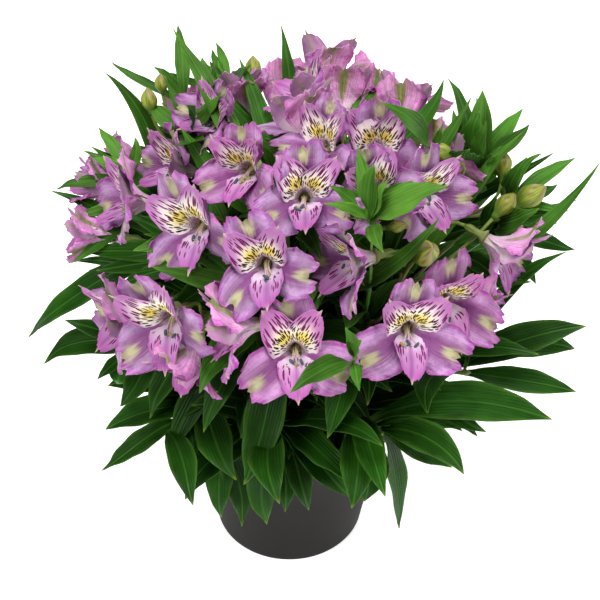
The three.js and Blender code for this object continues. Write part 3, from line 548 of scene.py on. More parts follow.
# Each stem's curve, from the soil to the place where its pedicels part
stem_curves = {}
for name in flowering:
    own = [i for i, row in enumerate(blooms) if row[0] == name]
    middle = np.mean([bloom_place(i, 0)[3] for i in own], axis=0)
    inward = unit(UMBEL_HEART - middle)
    top = middle + inward * UMBEL_DEPTH
    flat = math.hypot(top[0], top[1])
    start = np.array([*(top[:2] / flat * (FOOT_START + FOOT_SPREAD * flat)), SOIL_TOP])
    stem_curves[name] = [start, start + UP * STEM_RISE, top + inward * STEM_RISE * 0.55, top]
for name, (foot, top) in leafy.items():
    start, top = np.array([*foot, SOIL_TOP]), np.array(top, float)
    lean = unit(unit(np.array([top[0], top[1], 0])) + UP * 0.25)
    stem_curves[name] = [start, start + UP * STEM_RISE, top - lean * STEM_RISE * 0.55, top]
stem_names = list(stem_curves)
stem_corners = {name: solid_corners("stem_" + name) for name in stem_names}


def knob_faces(name):
    """Middle and normal of each face of a stem's knob, which may carry one stalk."""
    curve = stem_curves[name]
    points = [bezier(curve, i / STEM_STEPS) for i in range(STEM_STEPS)]
    points += [curve[3] + slope(curve, 1) * along for along, _ in KNOB_RINGS]
    rings = []
    for i in range(STEM_STEPS, len(points)):
        way = unit(points[min(i + 1, len(points) - 1)] - points[i - 1])
        across = unit(np.array([1.0, 0, 0]) - way * way[0])
        over = cross(way, across)
        radius = KNOB_RINGS[i - STEM_STEPS][1]
        turns = [k * 2 * math.pi / SOLID_SIDES for k in range(SOLID_SIDES)]
        rings.append(
            [points[i] + radius * (across * math.cos(a) + over * math.sin(a)) for a in turns]
        )
    found = []
    for low, high in zip(rings, rings[1:]):
        for k in range(SOLID_SIDES):
            n = (k + 1) % SOLID_SIDES
            found.append((low[k], low[n], high[n], high[k]))
    found.append(tuple(rings[-1]))
    return [(sum(c) / 4, unit(cross(c[2] - c[0], c[3] - c[1]))) for c in found]


STALK_TRIES = 8
PEDICEL_RADIUS = 1.15
STALK_REFERENCE = np.array([0.3, 0.4, 1.0])


def stalk_curve(name, neck, facing, first):
    """The curve of the stalk that holds a neck; first is the solid's next point on it."""
    for middle, normal in knob_faces(name):
        span = math.dist(neck, middle)
        for attempt in range(STALK_TRIES):
            draw = seeded(5000 + attempt)
            sideways = np.array([2 * draw() - 1 for _ in range(3)]) * attempt * 1.6
            curve = [middle, middle + normal * 0.22 * span, neck - facing * 0.36 * span + sideways,
                     neck]
            half = bezier(curve, 0.5)
            corner = rod_corner(half, unit(first - half), PEDICEL_RADIUS, STALK_REFERENCE)
            if has_corner(stem_corners[name], corner):
                return curve
    return None


# Stems
# Upright cane-like shoots, smooth and hairless, green with a reddish flush near the
# umbel. Each is a round stalk drawn along its curve, with the pedicels that part
# from its knob; real ones are 4 to 5 mm thick in a plant of this size.
STALK_SIDES = 10

stalks, given = start_tree("round_stalks", Sides="Int", Material="Material")
lines = add(stalks, "GeometryNodeMeshToCurve", {"Mesh": given["Geometry"]})
girth = add(stalks, "GeometryNodeInputNamedAttribute", {"Name": "girth"}, data_type="FLOAT")
circle = add(stalks, "GeometryNodeCurvePrimitiveCircle", {"Resolution": given["Sides"], "Radius": 1.0})
skin = add(
    stalks,
    "GeometryNodeCurveToMesh",
    {"Curve": lines.outputs[0], "Profile Curve": circle.outputs[0], "Fill Caps": True,
     "Scale": girth.outputs[0]},
)
real = add(stalks, "GeometryNodeRealizeInstances", {0: skin.outputs[0]})
dressed = add(
    stalks, "GeometryNodeSetMaterial", {"Geometry": real.outputs[0], "Material": given["Material"]}
)
add(stalks, "NodeGroupOutput", {0: dressed.outputs[0]})


class Skin:
    """The points, faces and colours of one piece, gathered part by part."""

    def __init__(self):
        self.points, self.faces, self.slots, self.count = [], [], [], 0
        self.tints, self.places, self.marks = [], [], []

    def take(self, points, faces, slot, tint, place=None, marks=None):
        n = len(points)
        self.points.append(np.asarray(points, float))
        self.faces += [[c + self.count for c in face] for face in faces]
        self.slots += [slot] * len(faces)
        self.tints.append(np.broadcast_to(np.asarray(tint, float)[..., :3], (n, 3)))
        self.places.append(np.zeros((n, 2)) if place is None else place)
        self.marks.append(np.zeros((n, 3)) if marks is None else marks)
        self.count += n

    def take_mesh(self, mesh, slot):
        """A mesh that geometry nodes made, with its tint."""
        points, tints = np.zeros(len(mesh.vertices) * 3), np.zeros(len(mesh.vertices) * 3)
        mesh.vertices.foreach_get("co", points)
        mesh.attributes["tint"].data.foreach_get("vector", tints)
        faces = [list(face.vertices) for face in mesh.polygons]
        self.take(points.reshape(-1, 3) / MM, faces, slot, tints.reshape(-1, 3))

    def finished(self, name, materials):
        mesh = build_mesh(name, np.concatenate(self.points), self.faces)
        for made in materials:
            mesh.materials.append(made)
        mesh.polygons.foreach_set("material_index", self.slots)
        for title, values in (("tint", self.tints), ("marks", self.marks)):
            layer = mesh.attributes.new(title, "FLOAT_VECTOR", "POINT")
            layer.data.foreach_set("vector", np.concatenate(values).ravel())
        corners = np.zeros(len(mesh.loops), int)
        mesh.loops.foreach_get("vertex_index", corners)
        layer = mesh.uv_layers.new(name="place")
        layer.data.foreach_set("uv", np.concatenate(self.places)[corners].ravel())
        mesh.set_sharp_from_angle(angle=math.radians(62))
        return mesh


def stalk_mesh(paths, sides, made_of):
    """Round stalks along paths, each a row of points with its girths and its tints."""
    points = np.concatenate([path for path, _, _ in paths])
    edges, first = [], 0
    for path, _, _ in paths:
        edges += [(first + i, first + i + 1) for i in range(len(path) - 1)]
        first += len(path)
    mesh = bpy.data.meshes.new("stalk_lines")
    mesh.from_pydata((points * MM).tolist(), edges, [])
    layer = mesh.attributes.new("girth", "FLOAT", "POINT")
    layer.data.foreach_set("value", np.concatenate([girths for _, girths, _ in paths]) * MM)
    layer = mesh.attributes.new("tint", "FLOAT_VECTOR", "POINT")
    layer.data.foreach_set("vector", np.concatenate([tints for _, _, tints in paths])[:, :3].ravel())
    return grown(mesh, stalks, Sides=sides, Material=made_of)


def blend(a, b, share):
    """Colours between a and b, one for each share."""
    a, b = np.asarray(a, float)[..., :3], np.asarray(b, float)[..., :3]
    return a + (b - a) * np.asarray(share, float)[..., None]


def painted(ground, *layers):
    """A ground under layers of colour, each with how strongly it shows at each place."""
    for colour, share in layers:
        ground = blend(ground, linear(colour), share)
    return ground


def smooth(low, high, value):
    """A soft step from 0 at low to 1 at high."""
    t = np.clip((np.asarray(value, float) - low) / (high - low), 0, 1)
    return t * t * (3 - 2 * t)


stem_green, stem_flush = linear("#4C8A33"), linear("#7E6A3C")
stem_pale = linear("#86A650")
# How far a point lies under the soil, or past the stem's curve, and its radius there
BURIED_FOOT = [(16, STEM_FOOT_RADIUS + 0.2), (6, STEM_FOOT_RADIUS + 0.3)]
SWOLLEN_KNOB = [(1.4, 2.9), (2.6, 3.2), (3.8, 2.7), (5.0, 1.7), (5.6, 0.4)]
POINTED_TOP = [(2.5, 0.3)]
STEM_STATIONS = 26


def stem_path(name):
    """A shoot from under the soil to its top, with a swollen knob if it flowers."""
    curve = stem_curves[name]
    t = np.linspace(0, 1, STEM_STATIONS)
    girths = STEM_FOOT_RADIUS + (STEM_TOP_RADIUS - STEM_FOOT_RADIUS) * t + 0.12 * np.sin(t * 40)
    way = slope(curve, 1)
    ending = SWOLLEN_KNOB if name in flowering else POINTED_TOP
    points = np.concatenate([
        [curve[0] - UP * deep for deep, _ in BURIED_FOOT],
        bezier(curve, t),
        [curve[3] + way * along for along, _ in ending],
    ])
    girths = np.concatenate([
        [radius for _, radius in BURIED_FOOT], girths, [radius for _, radius in ending]
    ])
    high = np.linspace(0, 1, len(points))
    return points, girths, blend(stem_green, stem_flush, smooth(0.45, 1, high) * 0.55)


def fibred_tint(tree, place, scale, detail, low, high, dark, light):
    """Fibres along a tissue, and its tint, which they make darker and lighter."""
    tint = add(tree, "ShaderNodeAttribute", attribute_name="tint").outputs["Color"]
    along = add(tree, "ShaderNodeMapping", {"Vector": place, "Scale": scale})
    fibre = add(tree, "ShaderNodeTexNoise", {"Vector": along.outputs[0], "Scale": 1.0, "Detail": detail})
    level = add(tree, "ShaderNodeMapRange", {0: fibre.outputs[0], 1: low, 2: high, 3: dark, 4: light})
    tone = add(
        tree,
        "ShaderNodeMix",
        {0: 1.0, 6: tint, 7: level.outputs[0]},
        data_type="RGBA",
        blend_type="MULTIPLY",
    )
    return fibre.outputs[0], tone.outputs[2]


# Living stem tissue, IOR 1.42: a waxy green cane with faint lengthwise fibres about
# 1 mm apart, a little coarser than real ones so that they show.
stem_tissue, tree, shader = start_material("waxy_green_stem", Roughness=0.42, IOR=1.42)
place = add(tree, "ShaderNodeTexCoord").outputs["Object"]
fibre, tone = fibred_tint(tree, place, (900.0, 900.0, 60.0), 2.0, 0.3, 0.7, 0.8, 1.2)
finish(tree, shader, tone, fibre, 0.3, 0.0002)

stem_skins = {name: Skin() for name in stem_names}
stem_paths = {name: [stem_path(name)] for name in stem_names}

# Leaves
# Lance-shaped blades 50 to 120 mm long with a shallow fold, a pale midrib and fine
# lengthwise veins, glossy above and duller below. A leaf grows straight from the
# shoot on a narrow twisted base. Each is a thin closed blade bent along its curve.
LEAF_THICKNESS = 0.45
LEAF_FOLD = 0.22
LEAF_ARCH = 0.16
LEAF_SWEEP = 0.28
TURN_TO_LIGHT = 0.75
LEAF_CURL, TIP_CURL, FOOT_TWIST = 9, 14, 50
TIP_HOOK = 5
LEAF_BRIGHTNESS = (0.7, 1.25)
LEAF_TRIES = 140
FOOT_CHOICES = 14
STEM_SEATS = 20
LOWEST_SEAT = 3
RULE_SEAT_START = 5
RULE_LEAVES_FLOWERING = 7
RULE_LEAVES_LEAFY = 5
GOLDEN_TURN = 137.5
SOLID_LEAF_HALF = 0.4
LONG_WIDEST, SHORT_WIDEST = 0.62, 0.48
# Share of the way along a blade, and its width there as a share of the widest
LONG_OUTLINE = ([0, 0.1, 0.3, 0.5, 0.64, 0.8, 0.92, 1], [0.16, 0.3, 0.76, 1, 0.98, 0.66, 0.27, 0.02])
SHORT_OUTLINE = ([0, 0.1, 0.3, 0.48, 0.7, 0.88, 1], [0.18, 0.36, 0.84, 1, 0.8, 0.35, 0.02])
LEAF_GRID = (24, 9)


def profile(stations, values, t):
    """A smooth line through values at stations."""
    stations, values, t = (np.asarray(x, float) for x in (stations, values, t))
    slopes = np.gradient(values, stations)
    i = np.clip(np.searchsorted(stations, t, side="right") - 1, 0, len(stations) - 2)
    step = stations[i + 1] - stations[i]
    s = (t - stations[i]) / step
    return (
        (2 * s**3 - 3 * s**2 + 1) * values[i]
        + (s**3 - 2 * s**2 + s) * step * slopes[i]
        + (3 * s**2 - 2 * s**3) * values[i + 1]
        + (s**3 - s**2) * step * slopes[i + 1]
    )


def seat_point(name, seat):
    """The place on a stem that one of its seats for leaves has."""
    return bezier(stem_curves[name], (seat + 0.5) / STEM_SEATS)


seats = [(name, seat) for name in stem_names for seat in range(LOWEST_SEAT, STEM_SEATS)]
seat_points = np.array([seat_point(*pair) for pair in seats])


def shaped_leaf(index, attempt):
    """One try at a leaf that reaches a given tip, from a stem near its goal."""
    tip, goal, width = shaped_leaves[index]
    draw = seeded(20000 + index * 37 + attempt)
    rounds = attempt // FOOT_CHOICES
    jitters = [(2 * draw() - 1) * rounds for _ in range(5)]
    order = np.argsort(np.linalg.norm(seat_points - np.array(goal), axis=1), kind="stable")
    name, seat = seats[order[attempt % FOOT_CHOICES]]
    tip = np.array(
        [tip[0] + 2.5 * jitters[0], tip[1] + 2.5 * jitters[1], tip[2] - 2 * abs(jitters[2])]
    )
    return (name, seat_point(name, seat), tip, width * (1 - 0.04 * rounds),
            LEAF_ARCH + 0.04 * jitters[3], 12 * jitters[4], LONG_WIDEST)


def rule_leaf(name, order, count, attempt):
    """One try at a leaf in the spiral round a stem."""
    stem_order = stem_names.index(name)
    draw = seeded(40000 + stem_order * 211 + order * 17 + attempt * 3)
    low = name in leafy
    seat = math.floor(
        RULE_SEAT_START + (STEM_SEATS - RULE_SEAT_START) * (order + 0.99 * draw()) / count
    )
    foot = seat_point(name, seat)
    spin = math.radians(
        GOLDEN_TURN * (order + stem_order * 2)
        + 40 * (draw() - 0.5)
        + attempt * 23 * (1 if attempt % 2 else -1)
    )
    heading = math.atan2(foot[1], foot[0]) + (0.55 if low else 0.8) * math.atan2(
        math.sin(spin), math.cos(spin)
    )
    share = (seat + 0.5) / STEM_SEATS
    rise = math.radians((-4 if low else 6) + 44 * share * draw() + 10 * (draw() - 0.5))
    length = (74 if low else 60) + 26 * draw() - 0.4 * attempt
    width = ((19 if low else 15) + 7 * draw()) * (1 - 0.006 * attempt)
    way = [math.cos(heading) * math.cos(rise), math.sin(heading) * math.cos(rise), math.sin(rise)]
    return (name, foot, foot + np.array(way) * length, width, LEAF_ARCH, 16 * (draw() - 0.5),
            LONG_WIDEST if low else SHORT_WIDEST)


def leaf_curve(foot, tip, arch):
    """The curve of a leaf's midrib, and the way that it bulges."""
    chord = tip - foot
    span = math.sqrt(chord @ chord)
    bulge = UP + unit(np.array([-foot[0], -foot[1], 0])) * 0.35
    bulge = unit(bulge - chord * (bulge @ chord) / span**2)
    low = foot + chord * 0.3 + bulge * arch * span * 1.2
    high = foot + chord * 0.72 + bulge * arch * span * 1.1
    return [foot, low, high, tip], bulge


def leaf_in_solid(leaf):
    """Whether this try is the leaf that the stem's solid has."""
    name, foot, tip, width, arch, twist, widest = leaf
    curve, bulge = leaf_curve(foot, tip, arch)
    way = slope(curve, widest)
    side = turned_about(unit(cross(way, bulge)), way, twist)
    corner = (
        bezier(curve, widest)
        + side * width / 2
        + cross(side, way) * (LEAF_FOLD * width / 2 + SOLID_LEAF_HALF)
    )
    return has_corner(stem_corners[name], corner)


leaves = []
for index in range(len(shaped_leaves)):
    tries = (shaped_leaf(index, attempt) for attempt in range(LEAF_TRIES))
    leaves.append(next(filter(leaf_in_solid, tries), None))
for name in stem_names:
    count = RULE_LEAVES_LEAFY if name in leafy else RULE_LEAVES_FLOWERING
    for order in range(count):
        tries = (rule_leaf(name, order, count, attempt) for attempt in range(LEAF_TRIES))
        leaves.append(next(filter(leaf_in_solid, tries), None))


def blade_faces(rows, columns):
    """Faces of a thin closed blade: its front grid, its back grid and its rim."""
    back = rows * columns
    faces = []
    for i in range(rows - 1):
        for j in range(columns - 1):
            a = i * columns + j
            faces.append([a, a + 1, a + columns + 1, a + columns])
            faces.append([back + a, back + a + columns, back + a + columns + 1, back + a + 1])
    last = (rows - 1) * columns
    rim = list(range(columns)) + [i * columns + columns - 1 for i in range(1, rows)]
    rim += [last + j for j in range(columns - 2, -1, -1)]
    rim += [i * columns for i in range(rows - 2, 0, -1)]
    for a, b in zip(rim, rim[1:] + rim[:1]):
        faces.append([a, back + a, back + b, b])
    return faces


def grid_normals(points):
    """Normals of a grid of points, pointing to its front."""
    normals = np.cross(np.gradient(points, axis=1), np.gradient(points, axis=0))
    return normals / np.maximum(np.linalg.norm(normals, axis=-1, keepdims=True), 1e-9)


def curve_length(curve, stations=30):
    """The length of a curve, taken in straight steps."""
    steps = np.diff(bezier(curve, np.linspace(0, 1, stations)), axis=0)
    return float(np.linalg.norm(steps, axis=1).sum())


LIGHT_WAY = unit(np.array([-0.15, -0.65, 0.75]))
leaf_deep, leaf_mid, leaf_young = linear("#042505"), linear("#184A0A"), linear("#598730")
leaf_under, leaf_tip = linear("#386E28"), linear("#8A962E")
# The dome of blooms, and how much darker a leaf deep under it is painted: painted shade where the blooms
# shade the leaves
CROWN_RADIUS, CROWN_HEIGHT = 128, 150
PAINTED_CROWN_SHADE = 0.65
LOW_TIP, HIGH_TIP = 190, 350
chance = np.random.default_rng(11)


def depth_in_crown(points):
    """How deep points lie under the dome of blooms: 0 on it, 1 in its middle."""
    x, y, z = np.moveaxis(points - UMBEL_HEART, -1, 0)
    return 1 - np.hypot(np.hypot(x, y) / CROWN_RADIUS, z / CROWN_HEIGHT)


def dress_leaf(leaf, most_turn, fresh, grid, ending=None):
    """
    A blade on its curve, turned to the light by most_turn degrees at the most. In what
    follows t runs from its foot to its tip, and u from -1 to 1 across it.
    """
    name, foot, tip, width, arch, twist, widest = leaf
    rows, columns = grid
    curve, bulge = leaf_curve(foot, tip, arch)
    if ending is not None:
        curve[2] = curve[2] * 0.3 + (tip - ending * 0.38 * np.linalg.norm(tip - foot)) * 0.7
    length = curve_length(curve)
    t = np.linspace(0, 1, rows)
    u = np.linspace(-1, 1, columns)
    middle, way = bezier(curve, t), slope(curve, t)
    side = np.cross(way, bulge)
    side /= np.linalg.norm(side, axis=1, keepdims=True)
    middle = middle + side * (chance.normal(0, LEAF_SWEEP) * length * (t**2 * (1 - t)))[:, None]
    normal = np.cross(side, way)
    halfway = rows // 2
    wanted = math.degrees(math.atan2(side[halfway] @ LIGHT_WAY, normal[halfway] @ LIGHT_WAY))
    to_light = np.clip(TURN_TO_LIGHT * (wanted - twist), -most_turn, most_turn) * smooth(0, 0.4, t)
    curl = twist + to_light + chance.normal(0, LEAF_CURL) * (t - 0.5)
    curl = np.radians(curl + chance.normal(0, TIP_CURL) * t**3)
    curl += np.radians(chance.choice([-FOOT_TWIST, FOOT_TWIST])) * (1 - smooth(0, 0.14, t))
    cos, sin = np.cos(curl)[:, None], np.sin(curl)[:, None]
    side, normal = side * cos - normal * sin, normal * cos + side * sin
    outline = LONG_OUTLINE if widest == LONG_WIDEST else SHORT_OUTLINE
    half = width / 2 * profile(*outline, t)
    across = half[:, None] * u
    fold = LEAF_FOLD * (0.85 + 0.65 * chance.random())
    lift = fold * (np.sqrt(across**2 + 0.5) - 0.7)
    waves, phase = chance.uniform(2.5, 4.5), chance.uniform(0, 6.28, 2)
    edge = np.abs(u) ** 2.5 * smooth(0.1, 0.3, t)[:, None] * (1 - smooth(0.85, 1, t))[:, None]
    wave = np.sin(2 * math.pi * waves * t[:, None] + np.where(u > 0, phase[0], phase[1]))
    lift = lift + edge * wave * (0.035 * width + 0.25)
    hook = -smooth(0.75, 1, t)[:, None] ** 2 * chance.uniform(0, TIP_HOOK)
    front = middle[:, None] + side[:, None] * across[..., None]
    front = front + normal[:, None] * (lift + hook)[..., None]
    back = front - grid_normals(front) * LEAF_THICKNESS
    young = smooth(LOW_TIP, HIGH_TIP, tip[2]) * 0.5 + chance.uniform(-0.2, 0.3) + fresh
    body = blend(leaf_deep, leaf_mid, np.clip(0.25 + young + chance.uniform(0, 0.45), 0, 1))
    body = blend(body, leaf_young, max(0.0, young - 0.25))
    body = body * chance.uniform(*LEAF_BRIGHTNESS)
    upper = blend(body, leaf_young, 0.08 + 0.3 * np.abs(u) ** 8 + np.zeros((rows, 1)))
    upper = blend(upper, leaf_tip, 0.5 * smooth(0.95, 1, t)[:, None])
    upper = blend(upper, stem_pale, 0.6 * (1 - smooth(0, 0.1, t))[:, None])
    # Painted shade: leaves deep under the dome of blooms are darkened
    upper = upper * (1 - PAINTED_CROWN_SHADE * smooth(-0.02, 0.3, depth_in_crown(front)))[..., None]
    under = blend(upper, leaf_under, np.full((rows, columns), 0.45))
    place = np.stack([across, np.broadcast_to(t[:, None] * length, across.shape)], axis=-1)
    offset = chance.uniform(0, 900)
    marks = np.zeros((2, rows, columns, 3))
    marks[1, ..., 0], marks[..., 1] = 1, offset
    stem_skins[name].take(
        np.stack([front, back]).reshape(-1, 3),
        blade_faces(rows, columns),
        1,
        np.stack([upper, under]).reshape(-1, 3),
        np.stack([place, place]).reshape(-1, 2),
        marks.reshape(-1, 3),
    )


for index, leaf in enumerate(leaves):
    if leaf is None:
        continue
    if index < len(shaped_leaves):
        tip, goal, own_width = shaped_leaves[index]
        name, foot, end, width, arch, twist, widest = leaf
        leaf = (name, foot, end, max(width, own_width), arch, 0, widest)
        dress_leaf(leaf, 75, 0, LEAF_GRID, unit(np.array(tip, float) - np.array(goal)))
    else:
        dress_leaf(leaf, 25, 0, LEAF_GRID)

# Small leaves inside the crown: the bracts that ring each umbel's knob, and short dark
# leaves lower on the shoots, which close the gaps between the larger ones.
BRACTS = 6
INNER_LEAVES = 9
BRACT_GRID, INNER_GRID = (16, 7), (14, 7)
BRACT_LENGTH, BRACT_WIDTH = (30, 46), (8, 13)
INNER_LENGTH, INNER_WIDTH = (38, 62), (12, 19)
INNER_RADIUS, INNER_HEIGHT, INNER_FLOOR = 116, 138, 124


def inside_crown(point):
    """Whether a point lies under the blooms and over the rim."""
    x, y, z = point - UMBEL_HEART
    return math.hypot(x, y, z * INNER_RADIUS / INNER_HEIGHT) < INNER_RADIUS and point[2] > INNER_FLOOR


for order, name in enumerate(stem_names):
    curve = stem_curves[name]
    if name in flowering:
        way = slope(curve, 1)
        lean = unit(cross(way, UP + np.array([0.01, 0, 0])))
        for k in range(BRACTS):
            out = turned_about(lean, way, 360 * k / BRACTS + chance.uniform(-20, 20))
            reach = chance.uniform(*BRACT_LENGTH)
            tip = curve[3] + unit(way * chance.uniform(0.35, 1.1) + out + UP * 0.2) * reach
            foot, width = curve[3] - way * chance.uniform(0, 4), chance.uniform(*BRACT_WIDTH)
            dress_leaf((name, foot, tip, width, 0.1, 0, SHORT_WIDEST), 60, 0.35, BRACT_GRID)
    for k in range(INNER_LEAVES):
        share = 0.12 + 0.8 * (k + chance.random()) / INNER_LEAVES
        foot = bezier(curve, share)
        heading = math.radians(GOLDEN_TURN * (k + 3 * order)) + chance.uniform(-0.3, 0.3)
        rise = chance.uniform(0.0, 0.9)
        tip = foot + chance.uniform(*INNER_LENGTH) * np.array(
            [math.cos(heading) * math.cos(rise), math.sin(heading) * math.cos(rise), math.sin(rise)]
        )
        if inside_crown(tip):
            width, twist = chance.uniform(*INNER_WIDTH), chance.uniform(-20, 20)
            dress_leaf((name, foot, tip, width, 0.14, twist, SHORT_WIDEST), 40, -0.25, INNER_GRID)

# Young shoots
# Side shoots that haven't flowered yet part from the canes and stand between the
# umbels. Each is a thin green stalk with short broad leaves, brighter than the rest.
CAMERA_ELEVATION = 44
CAMERA_DISTANCE = 1.4
CAMERA_TARGET = (0.008, 0, 0.216)
CAMERA_LENS, CAMERA_SENSOR = 122.3, 36
PHOTO_PIXELS = 600
SHOOT_RADIUS = 1.3

tilt = math.radians(CAMERA_ELEVATION)
view_up = np.array([0, math.sin(tilt), math.cos(tilt)])
view_back = np.array([0, -math.cos(tilt), math.sin(tilt)])

# Each shoot has its stem, how far up it the shoot parts, and its top as seen in the
# photo: pixel across, pixel down, and mm towards the camera from the plane that the
# camera is aimed at. Then each of its leaves has its tip in the same way, the pixel of
# its foot, its width in mm and its freshness.
young_shoots = {
    "centre": ("front_right", 0.75, (372, 224, 150), [
        ((356, 147, 158), (350, 183), 11, 0.3), ((373, 165, 168), (366, 205), 15, 0.15),
        ((384, 181, 174), (373, 212), 11, 0.55), ((326, 202, 178), (360, 214), 8, 0.7),
        ((334, 186, 172), (356, 205), 10, 0.25), ((443, 181, 180), (388, 228), 20, 0.45),
        ((381, 250, 176), (378, 215), 11, 0.5), ((412, 181, 164), (386, 208), 13, 0.05),
    ]),
    "middle_right": ("top_right", 0.9, (434, 158, 92), [
        ((408, 158, 112), (438, 168), 6, 0.2), ((386, 103, 146), (430, 147), 15, 0.05),
        ((440, 126, 110), (452, 148), 6, 0.4),
    ]),
    "upper_right": ("right_back", 0.9, (480, 168, 46), [
        ((449, 76, 40), (466, 118), 9, 0.15), ((482, 90, 56), (493, 154), 17, 0.05),
        ((476, 96, 40), (476, 118), 5, 0.5), ((480, 113, 72), (462, 154), 18, 0.2),
        ((485, 123, 78), (479, 162), 11, 0.4), ((470, 142, 118), (464, 190), 19, 0.15),
        ((523, 108, 50), (502, 148), 12, 0.2), ((530, 124, 54), (508, 156), 11, 0.3),
        ((493, 154, 66), (494, 184), 7, 0.2), ((453, 110, 56), (468, 142), 11, 0.2),
        ((486, 184, 36), (490, 214), 13, 0.05), ((499, 166, 44), (484, 206), 13, 0.05),
    ]),
    "right": ("right", 0.85, (510, 204, 36), [
        ((543, 154, 44), (514, 162), 6, 0.2), ((524, 158, 74), (504, 200), 13, -0.05),
        ((575, 156, 30), (541, 190), 11, 0.25), ((557, 183, 30), (536, 206), 10, 0.2),
        ((569, 211, 40), (530, 204), 6, 0.25), ((534, 207, 70), (506, 240), 19, 0.1),
        ((576, 251, 34), (503, 240), 12, 0.1), ((536, 284, 30), (516, 256), 13, 0.1),
        ((522, 214, 40), (488, 232), 13, -0.2), ((497, 194, 56), (484, 224), 11, 0.0),
        ((496, 280, 50), (470, 252), 14, 0.0), ((558, 222, 34), (508, 226), 14, 0.15),
        ((511, 178, 40), (492, 208), 12, 0.1), ((452, 246, 44), (486, 234), 11, 0.0),
    ]),
    "inner_left": ("left_mid", 0.6, (198, 258, 84), [
        ((137, 250, 124), (178, 230), 16, 0.2), ((124, 213, 96), (156, 230), 11, -0.1),
        ((160, 266, 128), (214, 285), 18, 0.1), ((180, 248, 100), (214, 272), 12, 0.0),
        ((216, 246, 110), (205, 264), 8, 0.2), ((84, 252, 44), (150, 248), 15, 0.0),
        ((94, 270, 50), (150, 264), 13, 0.1), ((206, 198, 76), (214, 226), 11, -0.2),
        ((120, 284, 60), (144, 272), 11, 0.0), ((138, 204, 60), (158, 228), 11, 0.0),
    ]),
    "upper_left": ("back_left", 0.8, (186, 140, 50), [
        ((185, 105, 104), (212, 124), 15, 0.0), ((170, 142, 108), (204, 138), 16, 0.05),
        ((218, 92, 88), (232, 118), 11, 0.2), ((160, 126, 70), (160, 150), 9, 0.0),
        ((148, 102, 40), (174, 122), 13, 0.2), ((184, 164, 60), (200, 188), 11, -0.2),
    ]),
    "far_left": ("left", 0.85, (128, 176, 56), [
        ((96, 127, 50), (120, 153), 9, 0.35), ((83, 148, 54), (98, 160), 5, 0.4),
        ((93, 158, 66), (122, 160), 10, 0.3), ((55, 185, 58), (118, 193), 9, 0.5),
        ((135, 137, 70), (137, 170), 8, 0.3), ((75, 213, 50), (108, 222), 8, 0.3),
        ((71, 263, 56), (112, 240), 10, 0.2),
    ]),
    "top": ("back_left", 0.9, (226, 96, 10), [
        ((203, 57, 8), (190, 88), 9, 0.5), ((215, 42, 6), (230, 70), 8, 0.35),
        ((210, 48, 6), (222, 74), 7, 0.1), ((208, 60, 10), (222, 78), 6, 0.2),
        ((155, 68, 20), (172, 78), 5, 0.1), ((249, 63, 66), (256, 94), 13, 0.1),
        ((262, 82, 20), (264, 110), 9, 0.1),
    ]),
    "far_top": ("back_left", 0.8, (184, 100, 26), [
        ((178, 24, 22), (177, 92), 10, 0.3), ((110, 60, 24), (150, 118), 6, 0.1),
        ((154, 66, 34), (178, 84), 7, 0.1),
    ]),
    "top_middle": ("top_back", 0.9, (352, 124, 40), [
        ((365, 61, 5), (369, 84), 6, 0.3), ((377, 73, 5), (370, 88), 4, 0.2),
        ((336, 102, 90), (350, 150), 9, -0.05), ((334, 126, 50), (344, 156), 11, -0.2),
        ((328, 164, 70), (350, 158), 11, -0.2),
    ]),
    "top_left": ("top_left", 0.85, (282, 160, 95), [
        ((254, 137, 118), (280, 152), 8, 0.0), ((275, 122, 56), (290, 150), 11, -0.1),
    ]),
    "front_low": ("front_right", 0.9, (354, 362, 146), [
        ((291, 388, 186), (354, 362), 15, 0.1), ((346, 328, 160), (352, 356), 9, 0.3),
        ((361, 340, 166), (346, 360), 10, 0.3), ((357, 388, 164), (350, 366), 8, 0.3),
    ]),
}
SHADE_OF_SHOOTS = 0.12
SHOOT_STATIONS, LOWEST_STATION = 18, 8
SHOOT_GRID = (20, 9)


def seen_at(across, down, nearness):
    """The place in mm that the photo shows at a pixel, at this nearness."""
    scale = (CAMERA_DISTANCE / MM - nearness) * CAMERA_SENSOR / CAMERA_LENS / PHOTO_PIXELS
    middle = np.array(CAMERA_TARGET) / MM + view_back * nearness
    half = PHOTO_PIXELS / 2
    return middle + np.array([(across - half) * scale, 0, 0]) - view_up * (down - half) * scale


for name, share, seen_top, its_leaves in young_shoots.values():
    foot, top = bezier(stem_curves[name], share), seen_at(*seen_top)
    bend = np.linalg.norm(top - foot) / 3
    curve = [foot, foot + slope(stem_curves[name], share) * bend, top - UP * bend, top]
    t = np.linspace(0, 1, SHOOT_STATIONS)
    path = bezier(curve, t)
    tints = blend(stem_green, stem_pale, smooth(0.3, 1, t) * 0.7)
    stem_paths[name].append((path, SHOOT_RADIUS * (1 - 0.5 * t**3), tints))
    for tip, seen_foot, width, fresh in its_leaves:
        end, goal = seen_at(*tip), seen_at(*seen_foot, (tip[2] + seen_top[2]) / 2)
        near = path[LOWEST_STATION:]
        seat = near[np.argmin(np.linalg.norm(near - goal, axis=1))]
        leaf = (name, seat, end, width, 0.1, 0, SHORT_WIDEST)
        dress_leaf(leaf, 170, fresh - SHADE_OF_SHOOTS, SHOOT_GRID, unit(end - goal))

